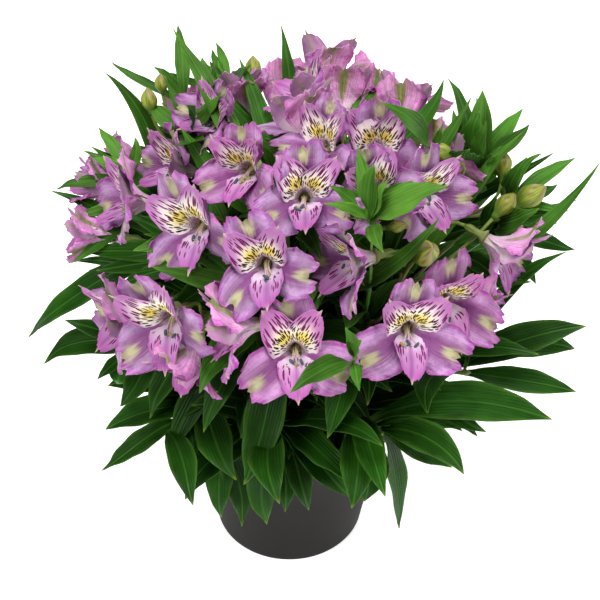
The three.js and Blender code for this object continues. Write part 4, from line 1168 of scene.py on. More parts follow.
# Leaf blade, IOR 1.42: a glossy cuticle above and a duller underside, with parallel
# veins every 2 mm that show as fine pale lines and as slight ridges in the gloss.
leaf_blade, tree, shader = start_material(
    "glossy_leaf_blade", IOR=1.42, **{"Specular IOR Level": 0.1}
)
tint = add(tree, "ShaderNodeAttribute", attribute_name="tint").outputs["Color"]
marks = add(tree, "ShaderNodeAttribute", attribute_name="marks").outputs["Vector"]
marks = add(tree, "ShaderNodeSeparateXYZ", {0: marks}).outputs
place = add(tree, "ShaderNodeUVMap", uv_map="place").outputs[0]
split = add(tree, "ShaderNodeSeparateXYZ", {0: place}).outputs
lanes = add(tree, "ShaderNodeCombineXYZ", {0: split[0], 1: split[1], 2: marks[1]})
stretch = add(tree, "ShaderNodeMapping", {"Vector": lanes.outputs[0], "Scale": (1.25, 0.025, 1.0)})
veins = add(tree, "ShaderNodeTexNoise", {"Vector": stretch.outputs[0], "Scale": 1.0, "Detail": 2.0})
cells = add(tree, "ShaderNodeMapping", {"Vector": lanes.outputs[0], "Scale": (0.06, 0.035, 1.0)})
patch = add(tree, "ShaderNodeTexNoise", {"Vector": cells.outputs[0], "Scale": 1.0, "Detail": 2.0})
beat = add(tree, "ShaderNodeMath", {0: split[0], 1: math.pi}, operation="MULTIPLY")
ridge = add(tree, "ShaderNodeMath", {0: beat.outputs[0]}, operation="SINE")
offset = add(tree, "ShaderNodeMath", {0: split[0]}, operation="ABSOLUTE")
rib = add(tree, "ShaderNodeMapRange", {0: offset.outputs[0], 1: 0.15, 2: 0.75, 3: 0.22, 4: 0.0})
vein_level = add(tree, "ShaderNodeMapRange", {0: veins.outputs[0], 1: 0.32, 2: 0.68, 3: 0.82, 4: 1.18})
patch_level = add(tree, "ShaderNodeMapRange", {0: patch.outputs[0], 1: 0.32, 2: 0.68, 3: 0.66, 4: 1.32})
level = add(
    tree, "ShaderNodeMath", {0: vein_level.outputs[0], 1: patch_level.outputs[0]}, operation="MULTIPLY"
)
tone = add(
    tree,
    "ShaderNodeMix",
    {0: 1.0, 6: tint, 7: level.outputs[0]},
    data_type="RGBA",
    blend_type="MULTIPLY",
)
ribbed = add(
    tree,
    "ShaderNodeMix",
    {0: rib.outputs[0], 6: tone.outputs[2], 7: linear("#5F9A3C")},
    data_type="RGBA",
)
relief = add(
    tree, "ShaderNodeMath", {0: ridge.outputs[0], 1: 0.35, 2: veins.outputs[0]}, operation="MULTIPLY_ADD"
)
gloss = add(tree, "ShaderNodeMapRange", {0: marks[0], 3: 0.36, 4: 0.6})
tree.links.new(gloss.outputs[0], shader.inputs["Roughness"])
finish(tree, shader, ribbed.outputs[2], relief.outputs[0], 0.7, 0.0005)

# Buds
# A closed bloom: six tepals wrapped into a plump, pointed bud over a small ribbed
# ovary, yellow-green with brown-violet seams. Each is a lobed skin along the bud's
# axis, on its own pedicel.
BUD_TRIES = 40
BUD_SIDES = 24
OVARY_LENGTH = 8
OVARY_RADIUS = 2.9
OVARY_ROWS = 9
CORE_RADIUS = 2.4
BLOOM_SEAT = 0.3
# Share of a bud's length from its middle, and its girth there as a share of the widest
BUD_OUTLINE = (
    [-0.6, -0.5, -0.4, -0.3, -0.1, 0.12, 0.3, 0.44, 0.52, 0.56],
    [0.2, 0.42, 0.46, 0.62, 0.94, 1.0, 0.8, 0.42, 0.18, 0.05],
)
BUD_ROWS = 30
BUD_GIRTH = 0.31
BUD_TWIST = 1.1
# A seam every third of a turn, where it lies in that third and its width, in radians
SEAM_SPACING, SEAM_MIDDLE, SEAM_WIDTH = 2.0944, 1.05, 0.12
bud_turns = 2 * math.pi * np.arange(BUD_SIDES) / BUD_SIDES


def lofted(start, facing, right, alongs, radii):
    """A closed skin round an axis, with a row of radii round it at each place along."""
    over = cross(facing, right)
    rows, sides = np.shape(radii)
    turns = 2 * math.pi * np.arange(sides) / sides
    ring = np.cos(turns)[:, None] * right + np.sin(turns)[:, None] * over
    middle = start + np.asarray(alongs, float)[:, None] * facing
    points = (middle[:, None] + np.asarray(radii)[..., None] * ring).reshape(-1, 3)
    faces = []
    for i in range(rows - 1):
        for k in range(sides):
            a, b = i * sides + k, i * sides + (k + 1) % sides
            faces.append([a, b, b + sides, a + sides])
    foot, top = len(points), len(points) + 1
    for k in range(sides):
        n = (k + 1) % sides
        faces.append([foot, n, k])
        faces.append([top, (rows - 1) * sides + k, (rows - 1) * sides + n])
    return np.concatenate([points, [middle[0], middle[-1]]]), faces


def with_poles(rows):
    """A colour for each point of a lofted skin, its two poles last."""
    flat = rows.reshape(-1, rows.shape[-1])
    return np.concatenate([flat, rows[0, :1], rows[-1, :1]])


def ribbed_ovary(neck, facing, right):
    """A six-ribbed ovary from the neck of a pedicel to the seat of a bloom."""
    shares = np.linspace(0, 1, OVARY_ROWS)
    six = np.abs(np.cos(3 * bud_turns))
    girth = profile([0, 0.2, 0.5, 0.8, 1], [1.2, 2.2, OVARY_RADIUS, 2.75, CORE_RADIUS], shares)
    ribs = 1 + 0.13 * (six - 0.55) * np.sin(math.pi * shares)[:, None]
    points, faces = lofted(neck, facing, right, shares * OVARY_LENGTH, girth[:, None] * ribs)
    crest = np.broadcast_to(smooth(0.5, 1, six), ribs.shape)
    tint = painted(
        linear("#5E7A33"), ("#93A850", crest), ("#7A4E45", 0.25 * shares[:, None] ** 2)
    )
    return points, faces, with_poles(tint)


def pedicel_path(curve):
    """The stalk from a face of the knob to a neck, a little thicker at both ends."""
    t = np.linspace(0, 1, 14)
    points = bezier(curve, t)
    points = np.concatenate([[points[0] - unit(curve[1] - curve[0]) * 1.5], points])
    girths = 1.05 + 0.75 * (1 - smooth(0, 0.16, t)) + 0.3 * smooth(0.88, 1, t)
    girths = np.concatenate([[1.9], girths])
    tints = blend(linear("#7A5A45"), linear("#7F9440"), np.concatenate([[0], smooth(0.0, 0.8, t)]))
    return points, girths, tints


def dress_bud(index):
    """A bud on its pedicel, at the try that its stem's solid took."""
    name, x, y, z, azimuth, elevation, length = buds[index]
    facing, _, right = facing_frame(azimuth, elevation, 0)
    tree = stem_corners[name]
    for attempt in range(BUD_TRIES):
        draw = seeded(9000 + index * 31 + attempt)
        middle = np.array([x, y, z]) + np.array([2 * draw() - 1 for _ in range(3)]) * attempt * 0.4
        tip = middle + facing * length * 0.5
        if has_corner(tree, rod_corner(tip, facing, 0.8, STALK_REFERENCE)):
            break
    else:
        return
    neck = middle - facing * length * 0.6
    curve = stalk_curve(name, neck, facing, neck)
    if curve is None:
        return
    stem_paths[name].append(pedicel_path(curve))
    stations = BUD_OUTLINE[0]
    shares = np.linspace(stations[0], stations[-1], BUD_ROWS)
    seam = bud_turns + BUD_TWIST * shares[:, None]
    groove = np.exp(-(((seam % SEAM_SPACING - SEAM_MIDDLE) / SEAM_WIDTH) ** 2))
    wrap = smooth(-0.35, -0.1, shares)[:, None]
    lobes = 1 + wrap * (0.07 * np.cos(3 * seam) - 0.05 * groove)
    lobes = lobes + (1 - wrap) * 0.07 * np.cos(6 * bud_turns)
    girths = np.maximum(BUD_GIRTH * length * profile(*BUD_OUTLINE, shares), 0.15)
    radii = girths[:, None] * lobes
    points, faces = lofted(middle, facing, right, shares * length, radii)
    green = blend(linear("#557A22"), linear("#9AA43A"), smooth(-0.45, 0.1, shares))
    stripe = np.exp(-((np.sin(1.5 * seam) / 0.2) ** 2)) * smooth(-0.2, 0.1, shares)[:, None]
    keel = np.exp(-((np.cos(1.5 * seam) / 0.3) ** 2)) * smooth(-0.3, 0, shares)[:, None]
    blush = smooth(0.1, 0.5, shares)[:, None] * (0.35 + 0.4 * np.cos(3 * seam + index))
    tint = painted(
        np.broadcast_to(green[:, None], (*radii.shape, 3)),
        ("#62333C", 0.85 * stripe),
        ("#44621E", 0.85 * keel),
        ("#A0607E", 0.7 * np.clip(blush, 0, 0.7)),
    )
    place = np.stack(np.broadcast_arrays(bud_turns, shares[:, None] * length), -1)
    stem_skins[name].take(points, faces, 2, with_poles(tint), with_poles(place))


for index in range(len(buds)):
    dress_bud(index)

# Bud and ovary tissue, IOR 1.4: waxy, with the lengthwise ridges of folded tepals.
bud_tissue, tree, shader = start_material("waxy_bud", Roughness=0.46, IOR=1.4)
place = add(tree, "ShaderNodeUVMap", uv_map="place").outputs[0]
ridge, tone = fibred_tint(tree, place, (9.0, 0.12, 1.0), 3.0, 0.3, 0.7, 0.5, 1.35)
finish(tree, shader, tone, ridge, 0.4, 0.0004)

# Blooms
# A short green core with six tepals: three broad lilac ones outside, two narrow ones
# with a yellow band and dashes above, and one below, which six stamens and a style
# lean over. Each tepal is a thin closed blade, about 0.35 mm thick, with a wavy edge.
BLOOM_TRIES = 140
CORE_SHOULDER = 3.5
CORE_LENGTH = 9
SOLID_TEPAL_HALF = 0.4
TEPAL_THICKNESS = 0.35
TEPAL_ROWS, TEPAL_COLUMNS = 25, 21
SOLID_UPPER_TURN = 12
CLAW_FLARE = -0.3
TIP_ROUNDNESS = 2.3
DASH_LANES = 4.4
DASH_SPACING = 11
CORE_ROWS = 7
STAMEN_SIDES = 6
TEPAL_SIZES = (0.88, 1.05)
BEND_SPREAD, LEAN_SPREAD = 2.9, 5

# Spread, reach, belly and rise of the midrib, then stations and half widths
solid_upper_rib = (28, 43, 11, 33)
tepal_kinds = {
    "outer": ((36, 36, 13, 28), [0, 0.2, 0.36, 0.55, 0.75, 0.9, 1],
              [2.6, 4.6, 7.8, 13.2, 16.8, 17.2, 15.4]),
    "upper": ((33, 40.5, 4.8, 26), [0, 0.2, 0.38, 0.52, 0.68, 0.83, 1],
              [2.2, 2.7, 3.4, 7.2, 12.0, 12.8, 10.2]),
    "lower": ((27, 40, 5, 28), [0, 0.25, 0.4, 0.55, 0.7, 0.85, 1],
              [2.2, 3.4, 5.4, 9.0, 11.2, 11.4, 9.6]),
}
# Kind, place round the bloom, the way it turns as the upper tepals close, outer side
tepal_ring = [("upper", 30, 1, 1), ("outer", 90, 0, 1), ("upper", 150, -1, -1),
              ("outer", 210, 0, 1), ("lower", 270, 0, 1), ("outer", 330, 0, 1)]


def midrib_corners(rib, openness, claw=2.0):
    """Corners of a tepal's midrib: out from the bloom's axis, and along it."""
    spread, reach, belly, rise = rib
    shut = 1 - openness
    return [
        np.array([CORE_SHOULDER, CORE_LENGTH - 0.4]),
        np.array([CORE_SHOULDER + claw, CORE_LENGTH + 8]),
        np.array([belly * (0.35 + 0.65 * openness), rise]),
        np.array([spread * openness + 3 * shut, reach + 6 * shut]),
    ]


def find_bloom(index):
    """The try that the bloom's solid was made from, by the tip of its first tepal."""
    openness = blooms[index][7]
    tree = solid_corners(f"bloom_{index + 1:02d}")
    corners = midrib_corners(solid_upper_rib, openness)
    out, up = corners[3]
    way = slope(corners, 1)
    turn = math.radians(30 + SOLID_UPPER_TURN)
    for attempt in range(BLOOM_TRIES):
        facing, upright, right, base = bloom_place(index, attempt)
        outward = right * math.cos(turn) + upright * math.sin(turn)
        normal = facing * way[0] - outward * way[1]
        if has_corner(tree, base + outward * out + facing * up + normal * SOLID_TEPAL_HALF):
            return facing, upright, right, base
    return None


strip = np.linspace(-1, 1, TEPAL_COLUMNS)
tepal_u, tepal_v = np.meshgrid(
    np.sin(strip * math.pi / 2) * 0.3 + strip * 0.7, np.linspace(0, 1, TEPAL_ROWS)
)
tepal_faces = blade_faces(TEPAL_ROWS, TEPAL_COLUMNS)


def bump_at(value, middle, width):
    """A soft bump of height 1 round a middle."""
    return np.exp(-(((value - middle) / width) ** 2))


def tepal_ends(kind, u, chance):
    """How far along the tip runs at each place across: notched, round or pointed."""
    arc = 1 - (1 - np.abs(0.985 * u) ** TIP_ROUNDNESS) ** (1 / TIP_ROUNDNESS)
    teeth = 0.012 * np.sin(17 * u + chance.uniform(0, 6))
    teeth = teeth + 0.010 * np.sin(31 * u + chance.uniform(0, 6))
    slant = chance.normal(0, 0.03) * u
    if kind == "outer":
        notch = chance.uniform(0.09, 0.16) * bump_at(u, 0, 0.2) - 0.06 * bump_at(u, 0, 0.05)
        return 1.04 - 0.22 * arc - notch + teeth + slant
    if kind == "upper":
        return 0.98 - 0.25 * arc + 0.035 * bump_at(u, 0, 0.05) + 0.5 * teeth + slant
    return 0.98 - 0.27 * arc + 0.05 * bump_at(u, 0, 0.06) + 0.5 * teeth + slant


# For each kind of tepal: how far it may sway in degrees, how much it ruffles in mm,
# how finely its edge is crimped, how far its sides twist, its cup and its bend
tepal_forms = {
    "outer": (5, 2.7, 0.95, 1.3, 0.05, -2.6),
    "upper": (3, 0.8, 0.4, 0.4, 0.17, -1.2),
    "lower": (4, 1.0, 0.5, 0.4, 0.14, 0.8),
}


def tepal_grid(place, openness, bloom, gather, chance):
    """
    Front points of one tepal, with how far along its midrib each one lies. u runs from
    -1 to 1 across it and v from 0 at its foot to 1 at its tip, here and in its colours.
    """
    kind, root, turn, _ = place
    facing, upright, right, base = bloom
    rib, stations, widths = tepal_kinds[kind]
    sway, amount, crimp, twist, cup, droop = tepal_forms[kind]
    u, v = tepal_u, tepal_v
    t = v * tepal_ends(kind, u, chance)
    corners = midrib_corners(rib, openness, CLAW_FLARE)
    at, way = bezier(corners, t), slope(corners, t)
    angle = root + turn * gather * smooth(0, 0.6, t) + chance.normal(0, sway) * t**2
    angle = np.radians(angle)[..., None]
    outward = right * np.cos(angle) + upright * np.sin(angle)
    side = np.cross(outward, facing)
    normal = facing * way[..., :1] - outward * way[..., 1:]
    half = profile(stations, widths, v) * (0.4 + 0.6 * openness) * chance.uniform(*TEPAL_SIZES)
    edge = np.abs(u)
    nibble = 0.018 * np.sin(27 * v + np.where(u > 0, *chance.uniform(0, 6, 2)))
    half = half * (1 + nibble * (edge > 0.9))
    amount = amount * (0.4 + 0.6 * openness)
    phases = chance.uniform(0, 6.28, 3)
    wave = np.sin(2 * math.pi * chance.uniform(1.7, 2.6) * v + np.where(u > 0, phases[0], phases[1]))
    ruffle = amount * wave * edge**2.2 * smooth(0.35, 0.75, v)
    ruffle += 0.5 * amount * np.sin(2 * math.pi * 1.4 * u + phases[2]) * smooth(0.8, 1, v)
    beats = np.where(u > 0, *chance.uniform(6, 8, 2)) * v
    beats = beats + np.where(u > 0, *chance.uniform(0, 1, 2))
    ruffle += crimp * np.sin(2 * math.pi * beats) * edge**6 * smooth(0.4, 0.7, v)
    ruffle += crimp * np.sin(2 * math.pi * 3.1 * u + phases[0]) * smooth(0.88, 1, v)
    lobes = np.where(u > 0, *chance.normal(-0.6, 2.7, 2)) * twist
    ruffle += lobes * edge**1.6 * smooth(0.4, 0.85, v) * openness
    lift = cup * half * edge**1.8 - 0.5 * bump_at(u, 0, 0.16) * smooth(0.1, 0.5, v)
    bend = droop + chance.normal(0, BEND_SPREAD)
    lift = lift + ruffle + bend * smooth(0.7, 1.05, t) * openness
    lean = math.tan(math.radians(chance.normal(0, LEAN_SPREAD)))
    lift = lift + u * half * lean * smooth(0.3, 0.9, v)
    front = base + outward * at[..., :1] + facing * at[..., 1:]
    front = front + side * (u * half)[..., None] + normal * lift[..., None]
    return front, t


lilac, violet = linear("#AF73AD"), linear("#997BAE")
throat_olive, throat_grey = "#A8986E", "#A78C9B"


def plain(colour):
    """One colour all over a tepal."""
    return np.broadcast_to(np.asarray(colour)[:3], (*tepal_u.shape, 3))


def outer_colours(u, v, ground):
    """
    Lilac with a grey-mauve throat, a magenta rim and a painted highlight down each side,
    front and back. Its marks are a pale green patch, a mauve band down the middle and a
    green point. Its back has a green stripe.
    """
    edge = np.abs(u)
    front = painted(
        plain(ground),
        # painted highlight: a paler band down each side of the front
        ("#CDA2D4", 0.6 * bump_at(edge, 0.66, 0.2)),
        (throat_grey, 0.8 * (1 - smooth(0.28, 0.58, v))),
        ("#E2D0D4", 0.5 * bump_at(u, 0, 0.45) * bump_at(v, 0.82, 0.16)),
        ("#9C3C92", 0.85 * smooth(0.82, 1, edge) * smooth(0.4, 0.8, v)),
        ("#A0449A", 0.85 * smooth(0.9, 1, v)),
        (throat_olive, 1 - smooth(0.05, 0.3, v)),
    )
    patch = 1.1 * bump_at(u, 0, 0.27) * bump_at(v, 0.9, 0.1)
    band = 1.1 * bump_at(u, 0, 0.5) * smooth(0.25, 0.5, v) * (1 - smooth(0.86, 1, v))
    point = 0.85 * bump_at(u, 0, 0.2) * smooth(0.88, 0.97, v)
    stripe = bump_at(u, 0, 0.1 + 0.12 * smooth(0.4, 0.9, v)) * smooth(0.3, 0.6, v)
    back = painted(
        plain(ground),
        ("#EC96D6", 0.8),
        # painted highlight: a paler band down each side of the back
        ("#EDB4DE", 0.5 * bump_at(edge, 0.5, 0.4)),
        ("#E8CCDA", 0.8 * (1 - smooth(0.25, 0.65, v))),
        ("#B040A2", 0.75 * smooth(0.8, 1, edge) * smooth(0.4, 0.8, v)),
        ("#7E912C", np.clip(1.5 * stripe, 0, 0.95)),
        ("#8C9A52", 0.7 * (1 - smooth(0, 0.18, v))),
    )
    return front, back, np.stack([patch, band, point], -1)


def upper_colours(u, v, ground, blush):
    """
    Cream with a yellow band, and pink towards the tip and outer side. Its marks are
    long dashes, the shorter ones in the yellow band and the mottle in the throat.
    """
    edge = np.abs(u)
    pink = smooth(0.74, 0.97, v + 0.07 * edge**2 + 0.03 * u + blush)
    band = bump_at(v, 0.61, 0.125) * bump_at(u, -0.05, 0.52)
    dusk = (1 - smooth(0.36, 0.5, v)) * smooth(0.1, 0.25, v)
    front = painted(
        blend(plain(linear("#FFF8F4")), ground, 0.95 * pink),
        ("#B048A6", 0.5 * smooth(0.88, 1, v) * (0.4 + 0.6 * edge)),
        ("#B456AC", 0.55 * smooth(0.88, 1, edge) * smooth(0.66, 0.8, v)),
        ("#F2DD48", np.clip(1.35 * band, 0, 0.9)),
        ("#BB94A2", 0.75 * dusk),
        (throat_olive, 1 - smooth(0.04, 0.26, v)),
        ("#CFC79A", 0.9 * bump_at(u, 0, 0.08) * smooth(0.96, 1, v)),
    )
    back = painted(
        blend(plain(linear("#F0DCE4")), ground, 0.8 * smooth(0.55, 0.9, v)),
        ("#A0A65E", 0.6 * bump_at(u, 0, 0.13)),
        ("#8C9A52", 0.6 * (1 - smooth(0, 0.2, v))),
    )
    long = smooth(0.68, 0.76, v) * (1 - smooth(0.92, 0.97, v)) * (1 - smooth(0.86, 0.98, edge))
    short = smooth(0.38, 0.48, v) * (1 - smooth(0.73, 0.81, v)) * (1 - smooth(0.93, 1, edge))
    mottle = smooth(0.12, 0.24, v) * (1 - smooth(0.4, 0.5, v))
    return front, back, np.stack([long, short, mottle], -1)


def lower_colours(u, v, ground):
    """Grey-white at its foot, magenta pink at its tip, with a few dashes each side."""
    edge = np.abs(u)
    rim = smooth(0.82, 1, np.maximum(v, edge * smooth(0.5, 0.8, v)))
    stripe = bump_at(u, 0, 0.14) * smooth(0.3, 0.5, v) * (1 - smooth(0.9, 1, v))
    front = painted(
        blend(plain(linear("#D6BFD6")), ground, smooth(0.5, 0.78, v)),
        ("#A84A9C", 0.75 * rim),
        ("#8A3F88", 0.7 * stripe),
        (throat_grey, 0.8 * (1 - smooth(0.25, 0.45, v))),
        (throat_olive, 1 - smooth(0.1, 0.34, v)),
        ("#CFC79A", 0.9 * bump_at(u, 0, 0.09) * smooth(0.95, 1, v)),
    )
    back = painted(
        plain(ground),
        ("#9DA263", 0.75 * bump_at(u, 0, 0.2)),
        ("#9AA55E", 0.6 * (1 - smooth(0.1, 0.4, v))),
    )
    long = smooth(0.54, 0.62, v) * (1 - smooth(0.84, 0.92, v))
    long = long * smooth(0.26, 0.36, edge) * (1 - smooth(0.85, 0.97, edge))
    mottle = 0.4 * smooth(0.22, 0.34, v) * (1 - smooth(0.4, 0.5, v))
    return front, back, np.stack([long, np.zeros(u.shape), mottle], -1)


colourings = {"outer": outer_colours, "upper": upper_colours, "lower": lower_colours}

FILAMENTS = 6
FILAMENT_ROOT, STYLE_ROOT = 2.1, 0.3
FILAMENT_SWAY = 6.5
FILAMENT_DROP, STYLE_DROP = (5.5, 11), 8
FILAMENT_LENGTH, STYLE_LENGTH = (21, 27), 24
ANTHER_LENGTH = (4.2, 5.4)
RIPE_SHARE = 0.3
# How far along the style each of its three arms goes, and how far out
STYLE_ARM = ((0, 0), (1.0, 0.5), (1.8, 1.6), (2.1, 2.6))
STYLE_ARM_RADII = (0.4, 0.42, 0.36, 0.2)
# Share of an anther's length, and its radius and paleness there
ANTHER_OUTLINE = (0, 0.14, 0.4, 0.7, 0.9, 1)
ANTHER_RADII = (0.25, 0.85, 1.1, 1.05, 0.75, 0.2)
ANTHER_PALENESS = (0.3, 0.1, 0.5, 0.2, 0.6, 0.2)
ripe_anther, young_anther = ("#8C8350", "#A79B5E"), ("#39404F", "#5A6273")


def stamen_paths(openness, bloom, chance):
    """Six filaments with their anthers and a three-armed style, leaning downwards."""
    facing, upright, right, base = bloom
    paths = []
    for k in range(FILAMENTS + 1):
        turn = 2 * math.pi * (k + 0.5) / FILAMENTS
        style = k == FILAMENTS
        out = STYLE_ROOT if style else FILAMENT_ROOT
        sway = 0.0
        if not style:
            sway = chance.uniform(-FILAMENT_SWAY, FILAMENT_SWAY) * (0.3 + 0.7 * openness)
        drop = (STYLE_DROP if style else chance.uniform(*FILAMENT_DROP)) * openness
        length = STYLE_LENGTH if style else chance.uniform(*FILAMENT_LENGTH)
        corners = [
            base + facing * 7.5 + (right * math.cos(turn) + upright * math.sin(turn)) * out,
            base + facing * 19 - upright * 1.5 * openness,
            base + facing * (length - 3) - upright * drop * 0.75 + right * sway * 0.6,
            base + facing * length - upright * drop + right * sway,
        ]
        t = np.linspace(0, 1, 10)
        tints = blend(linear("#C4B68C"), linear("#C3A2BA"), smooth(0.2, 0.8, t))
        paths.append((bezier(corners, t), 0.95 - 0.55 * t, tints))
        if style:
            way = slope(corners, 1.0)
            tints = blend(linear("#B4B263"), linear("#D9CFA0"), np.linspace(0, 1, len(STYLE_ARM)))
            for arm in range(3):
                lean = turned_about(unit(cross(way, right)), way, 120 * arm)
                rows = np.array([corners[3] + way * a + lean * b for a, b in STYLE_ARM])
                paths.append((rows, np.array(STYLE_ARM_RADII), tints))
            continue
        lean = facing * chance.uniform(-0.1, 0.5) - upright * chance.uniform(0.2, 0.9)
        lean = unit(lean + right * chance.normal(0, 0.5))
        size = chance.uniform(*ANTHER_LENGTH)
        rows = np.array([corners[3] + lean * size * (a - 0.45) for a in ANTHER_OUTLINE])
        dark, light = ripe_anther if chance.random() < RIPE_SHARE else young_anther
        tints = blend(linear(dark), linear(light), ANTHER_PALENESS)
        paths.append((rows, np.array(ANTHER_RADII), tints))
    return paths


# Tepal tissue, IOR 1.36: thin cells full of sap, so it is soft and velvety and lets a
# little light through. Its fine veins run along it and vary the lilac in streaks.
VEIN_SCALE, VEIN_DETAIL = (3.2, 0.3, 1.0), 4.0


def tepal_pattern(tree, *levels):
    """The strengths of a tepal's marks, its lanes, its veins and its veined tint."""
    marks = add(tree, "ShaderNodeAttribute", attribute_name="marks").outputs["Vector"]
    marks = add(tree, "ShaderNodeSeparateXYZ", {0: marks}).outputs
    lanes = add(tree, "ShaderNodeUVMap", uv_map="place").outputs[0]
    return marks, lanes, *fibred_tint(tree, lanes, VEIN_SCALE, VEIN_DETAIL, *levels)


def crinkled(tree, place, strength, depth):
    """Crinkles about 4 mm apart, under the relief of the veins."""
    crinkle = add(tree, "ShaderNodeTexNoise", {"Vector": place, "Scale": 260.0, "Detail": 3.0})
    height = {"Height": crinkle.outputs[0], "Strength": strength, "Distance": depth}
    return add(tree, "ShaderNodeBump", height).outputs[0]


outer_tissue, tree, shader = start_material(
    "velvety_lilac_tepal", Roughness=0.58, IOR=1.36,
    **{"Specular IOR Level": 0.3, "Sheen Weight": 0.12, "Sheen Roughness": 0.5,
       "Subsurface Weight": 0.35, "Subsurface Scale": 0.0008, "Subsurface Radius": (1.0, 0.55, 0.9)}
)
marks, lanes, veins, last = tepal_pattern(tree, 0.34, 0.66, 0.7, 1.22)
place = add(tree, "ShaderNodeTexCoord").outputs["Object"]
cloud = add(
    tree, "ShaderNodeTexNoise", {"Vector": place, "Scale": 95.0, "Detail": 5.0, "Roughness": 0.72}
)
for low, high, most, colour in ((0.5, 0.68, 0.55, "#8E4090"), (0.5, 0.34, 0.42, "#D6ADD4")):
    share = add(tree, "ShaderNodeMapRange", {0: cloud.outputs[0], 1: low, 2: high, 3: 0.0, 4: most})
    clouded = add(
        tree,
        "ShaderNodeMix",
        {0: share.outputs[0], 6: last, 7: linear(colour)},
        data_type="RGBA",
    )
    last = clouded.outputs[2]
for mark, fray, most, colour in (
    (marks[1], 1.6, 0.85, "#7A3676"),
    (marks[0], 1.4, 0.76, "#BCBE88"),
    (marks[2], 0.3, 0.85, "#86904A"),
):
    frayed = add(tree, "ShaderNodeMath", {0: veins, 1: fray, 2: mark}, operation="MULTIPLY_ADD")
    share = add(
        tree,
        "ShaderNodeMapRange",
        {0: frayed.outputs[0], 1: 0.5 * fray + 0.25, 2: 0.5 * fray + 0.85, 3: 0.0, 4: most},
    )
    marked = add(
        tree,
        "ShaderNodeMix",
        {0: share.outputs[0], 6: last, 7: linear(colour)},
        data_type="RGBA",
    )
    last = marked.outputs[2]
finish(tree, shader, last, veins, 0.9, 0.0006, crinkled(tree, place, 0.8, 0.0014))

# The same tissue on the inner tepals, which carry the nectar guides: dashes of dark
# sap colour under 1 mm wide and 3 to 4 mm long in the lanes between the veins,
# shorter ones in the yellow band, and a mauve mottle in the throat.
inner_tissue, tree, shader = start_material(
    "velvety_dashed_tepal", Roughness=0.6, IOR=1.36, **{"Specular IOR Level": 0.25}
)
marks, lanes, veins, last = tepal_pattern(tree, 0.3, 0.7, 0.9, 1.08)
for scale, mark, small, spread, colour in (
    ((3.1, 5.2, 1.0), marks[2], 0.26, 0.2, "#5E3350"),
    ((2.2, 1.9, 1.0), marks[1], 0.25, 0.2, "#230712"),
    ((1.7, 1.35, 1.0), marks[0], 0.23, 0.2, "#6A0C54"),
):
    sized = add(tree, "ShaderNodeMapping", {"Vector": lanes, "Scale": scale})
    cells = add(
        tree,
        "ShaderNodeTexVoronoi",
        {"Vector": sized.outputs[0], "Scale": 1.0, "Randomness": 0.85},
        voronoi_dimensions="2D",
    )
    luck = add(tree, "ShaderNodeSeparateColor", {0: cells.outputs["Color"]})
    wide = add(
        tree, "ShaderNodeMath", {0: luck.outputs[0], 1: spread, 2: small}, operation="MULTIPLY_ADD"
    )
    reach = add(tree, "ShaderNodeMath", {0: wide.outputs[0], 1: mark}, operation="MULTIPLY")
    inside = add(
        tree, "ShaderNodeMath", {0: reach.outputs[0], 1: cells.outputs["Distance"]}, operation="SUBTRACT"
    )
    share = add(tree, "ShaderNodeMapRange", {0: inside.outputs[0], 1: -0.02, 2: 0.03, 3: 0.0, 4: 1.0})
    dashed = add(
        tree,
        "ShaderNodeMix",
        {0: share.outputs[0], 6: last, 7: linear(colour)},
        data_type="RGBA",
    )
    last = dashed.outputs[2]
place = add(tree, "ShaderNodeTexCoord").outputs["Object"]
finish(tree, shader, last, veins, 0.45, 0.0004, crinkled(tree, place, 0.6, 0.0012))

# Filaments, styles and anthers, IOR 1.4: dull threads, and anthers dusted with pollen
# grains, drawn 0.4 mm apart so that they show.
pollen, tree, shader = start_material("pollen_dusted_stamen", Roughness=0.8, IOR=1.4)
place = add(tree, "ShaderNodeTexCoord").outputs["Object"]
_, tone = fibred_tint(tree, place, (2500.0, 2500.0, 2500.0), 2.0, 0.35, 0.65, 0.65, 1.4)
tree.links.new(tone, shader.inputs["Base Color"])

# Bloom, how far it nods back and how far its upper tepals close up, in degrees
postures = {
    1: (14, 29), 2: (4, 22), 3: (0, 27), 4: (0, 26), 5: (14, 24), 6: (6, 25),
    7: (14, 25), 8: (14, 24), 9: (12, 27),
}
USUAL_NOD, USUAL_GATHER = 5, (13, 27)
PALE_BLOOMS = [2, 6, 7, 8, 15, 16]
PINK_BLOOMS = [3, 5, 9, 11, 12, 20]
PALENESS = 0.35
BLOOM_BRIGHTNESS = (0.7, 0.82)
# The outsides of blooms that face the back are brightened: painted light, standing in for light that the
# lamps don't give them
FACES_BACK = 0.2
PAINTED_BACK_LIGHT = np.array([1.28, 1.3, 1.22])
# The pinker colour that each kind of tepal leans to, and how far
leanings = {"outer": (lilac, 0), "upper": (linear("#BE72B2"), 0.55), "lower": (linear("#C98FC2"), 0.5)}


def bloom_core(seat, facing, right):
    """The short green tube over the ovary that carries the tepals."""
    shares = np.linspace(0, 1, CORE_ROWS)
    girth = profile([0, 0.5, 0.94, 1], [CORE_RADIUS, 2.85, CORE_SHOULDER - 0.1, 1.2], shares)
    girth = girth[:, None] * (1 + 0.04 * np.cos(6 * bud_turns))
    points, faces = lofted(seat, facing, right, shares * (CORE_LENGTH + 0.3), girth)
    green = blend(linear("#7F9440"), linear("#9AA068"), np.broadcast_to(shares[:, None], girth.shape))
    return points, faces, 0, with_poles(green)


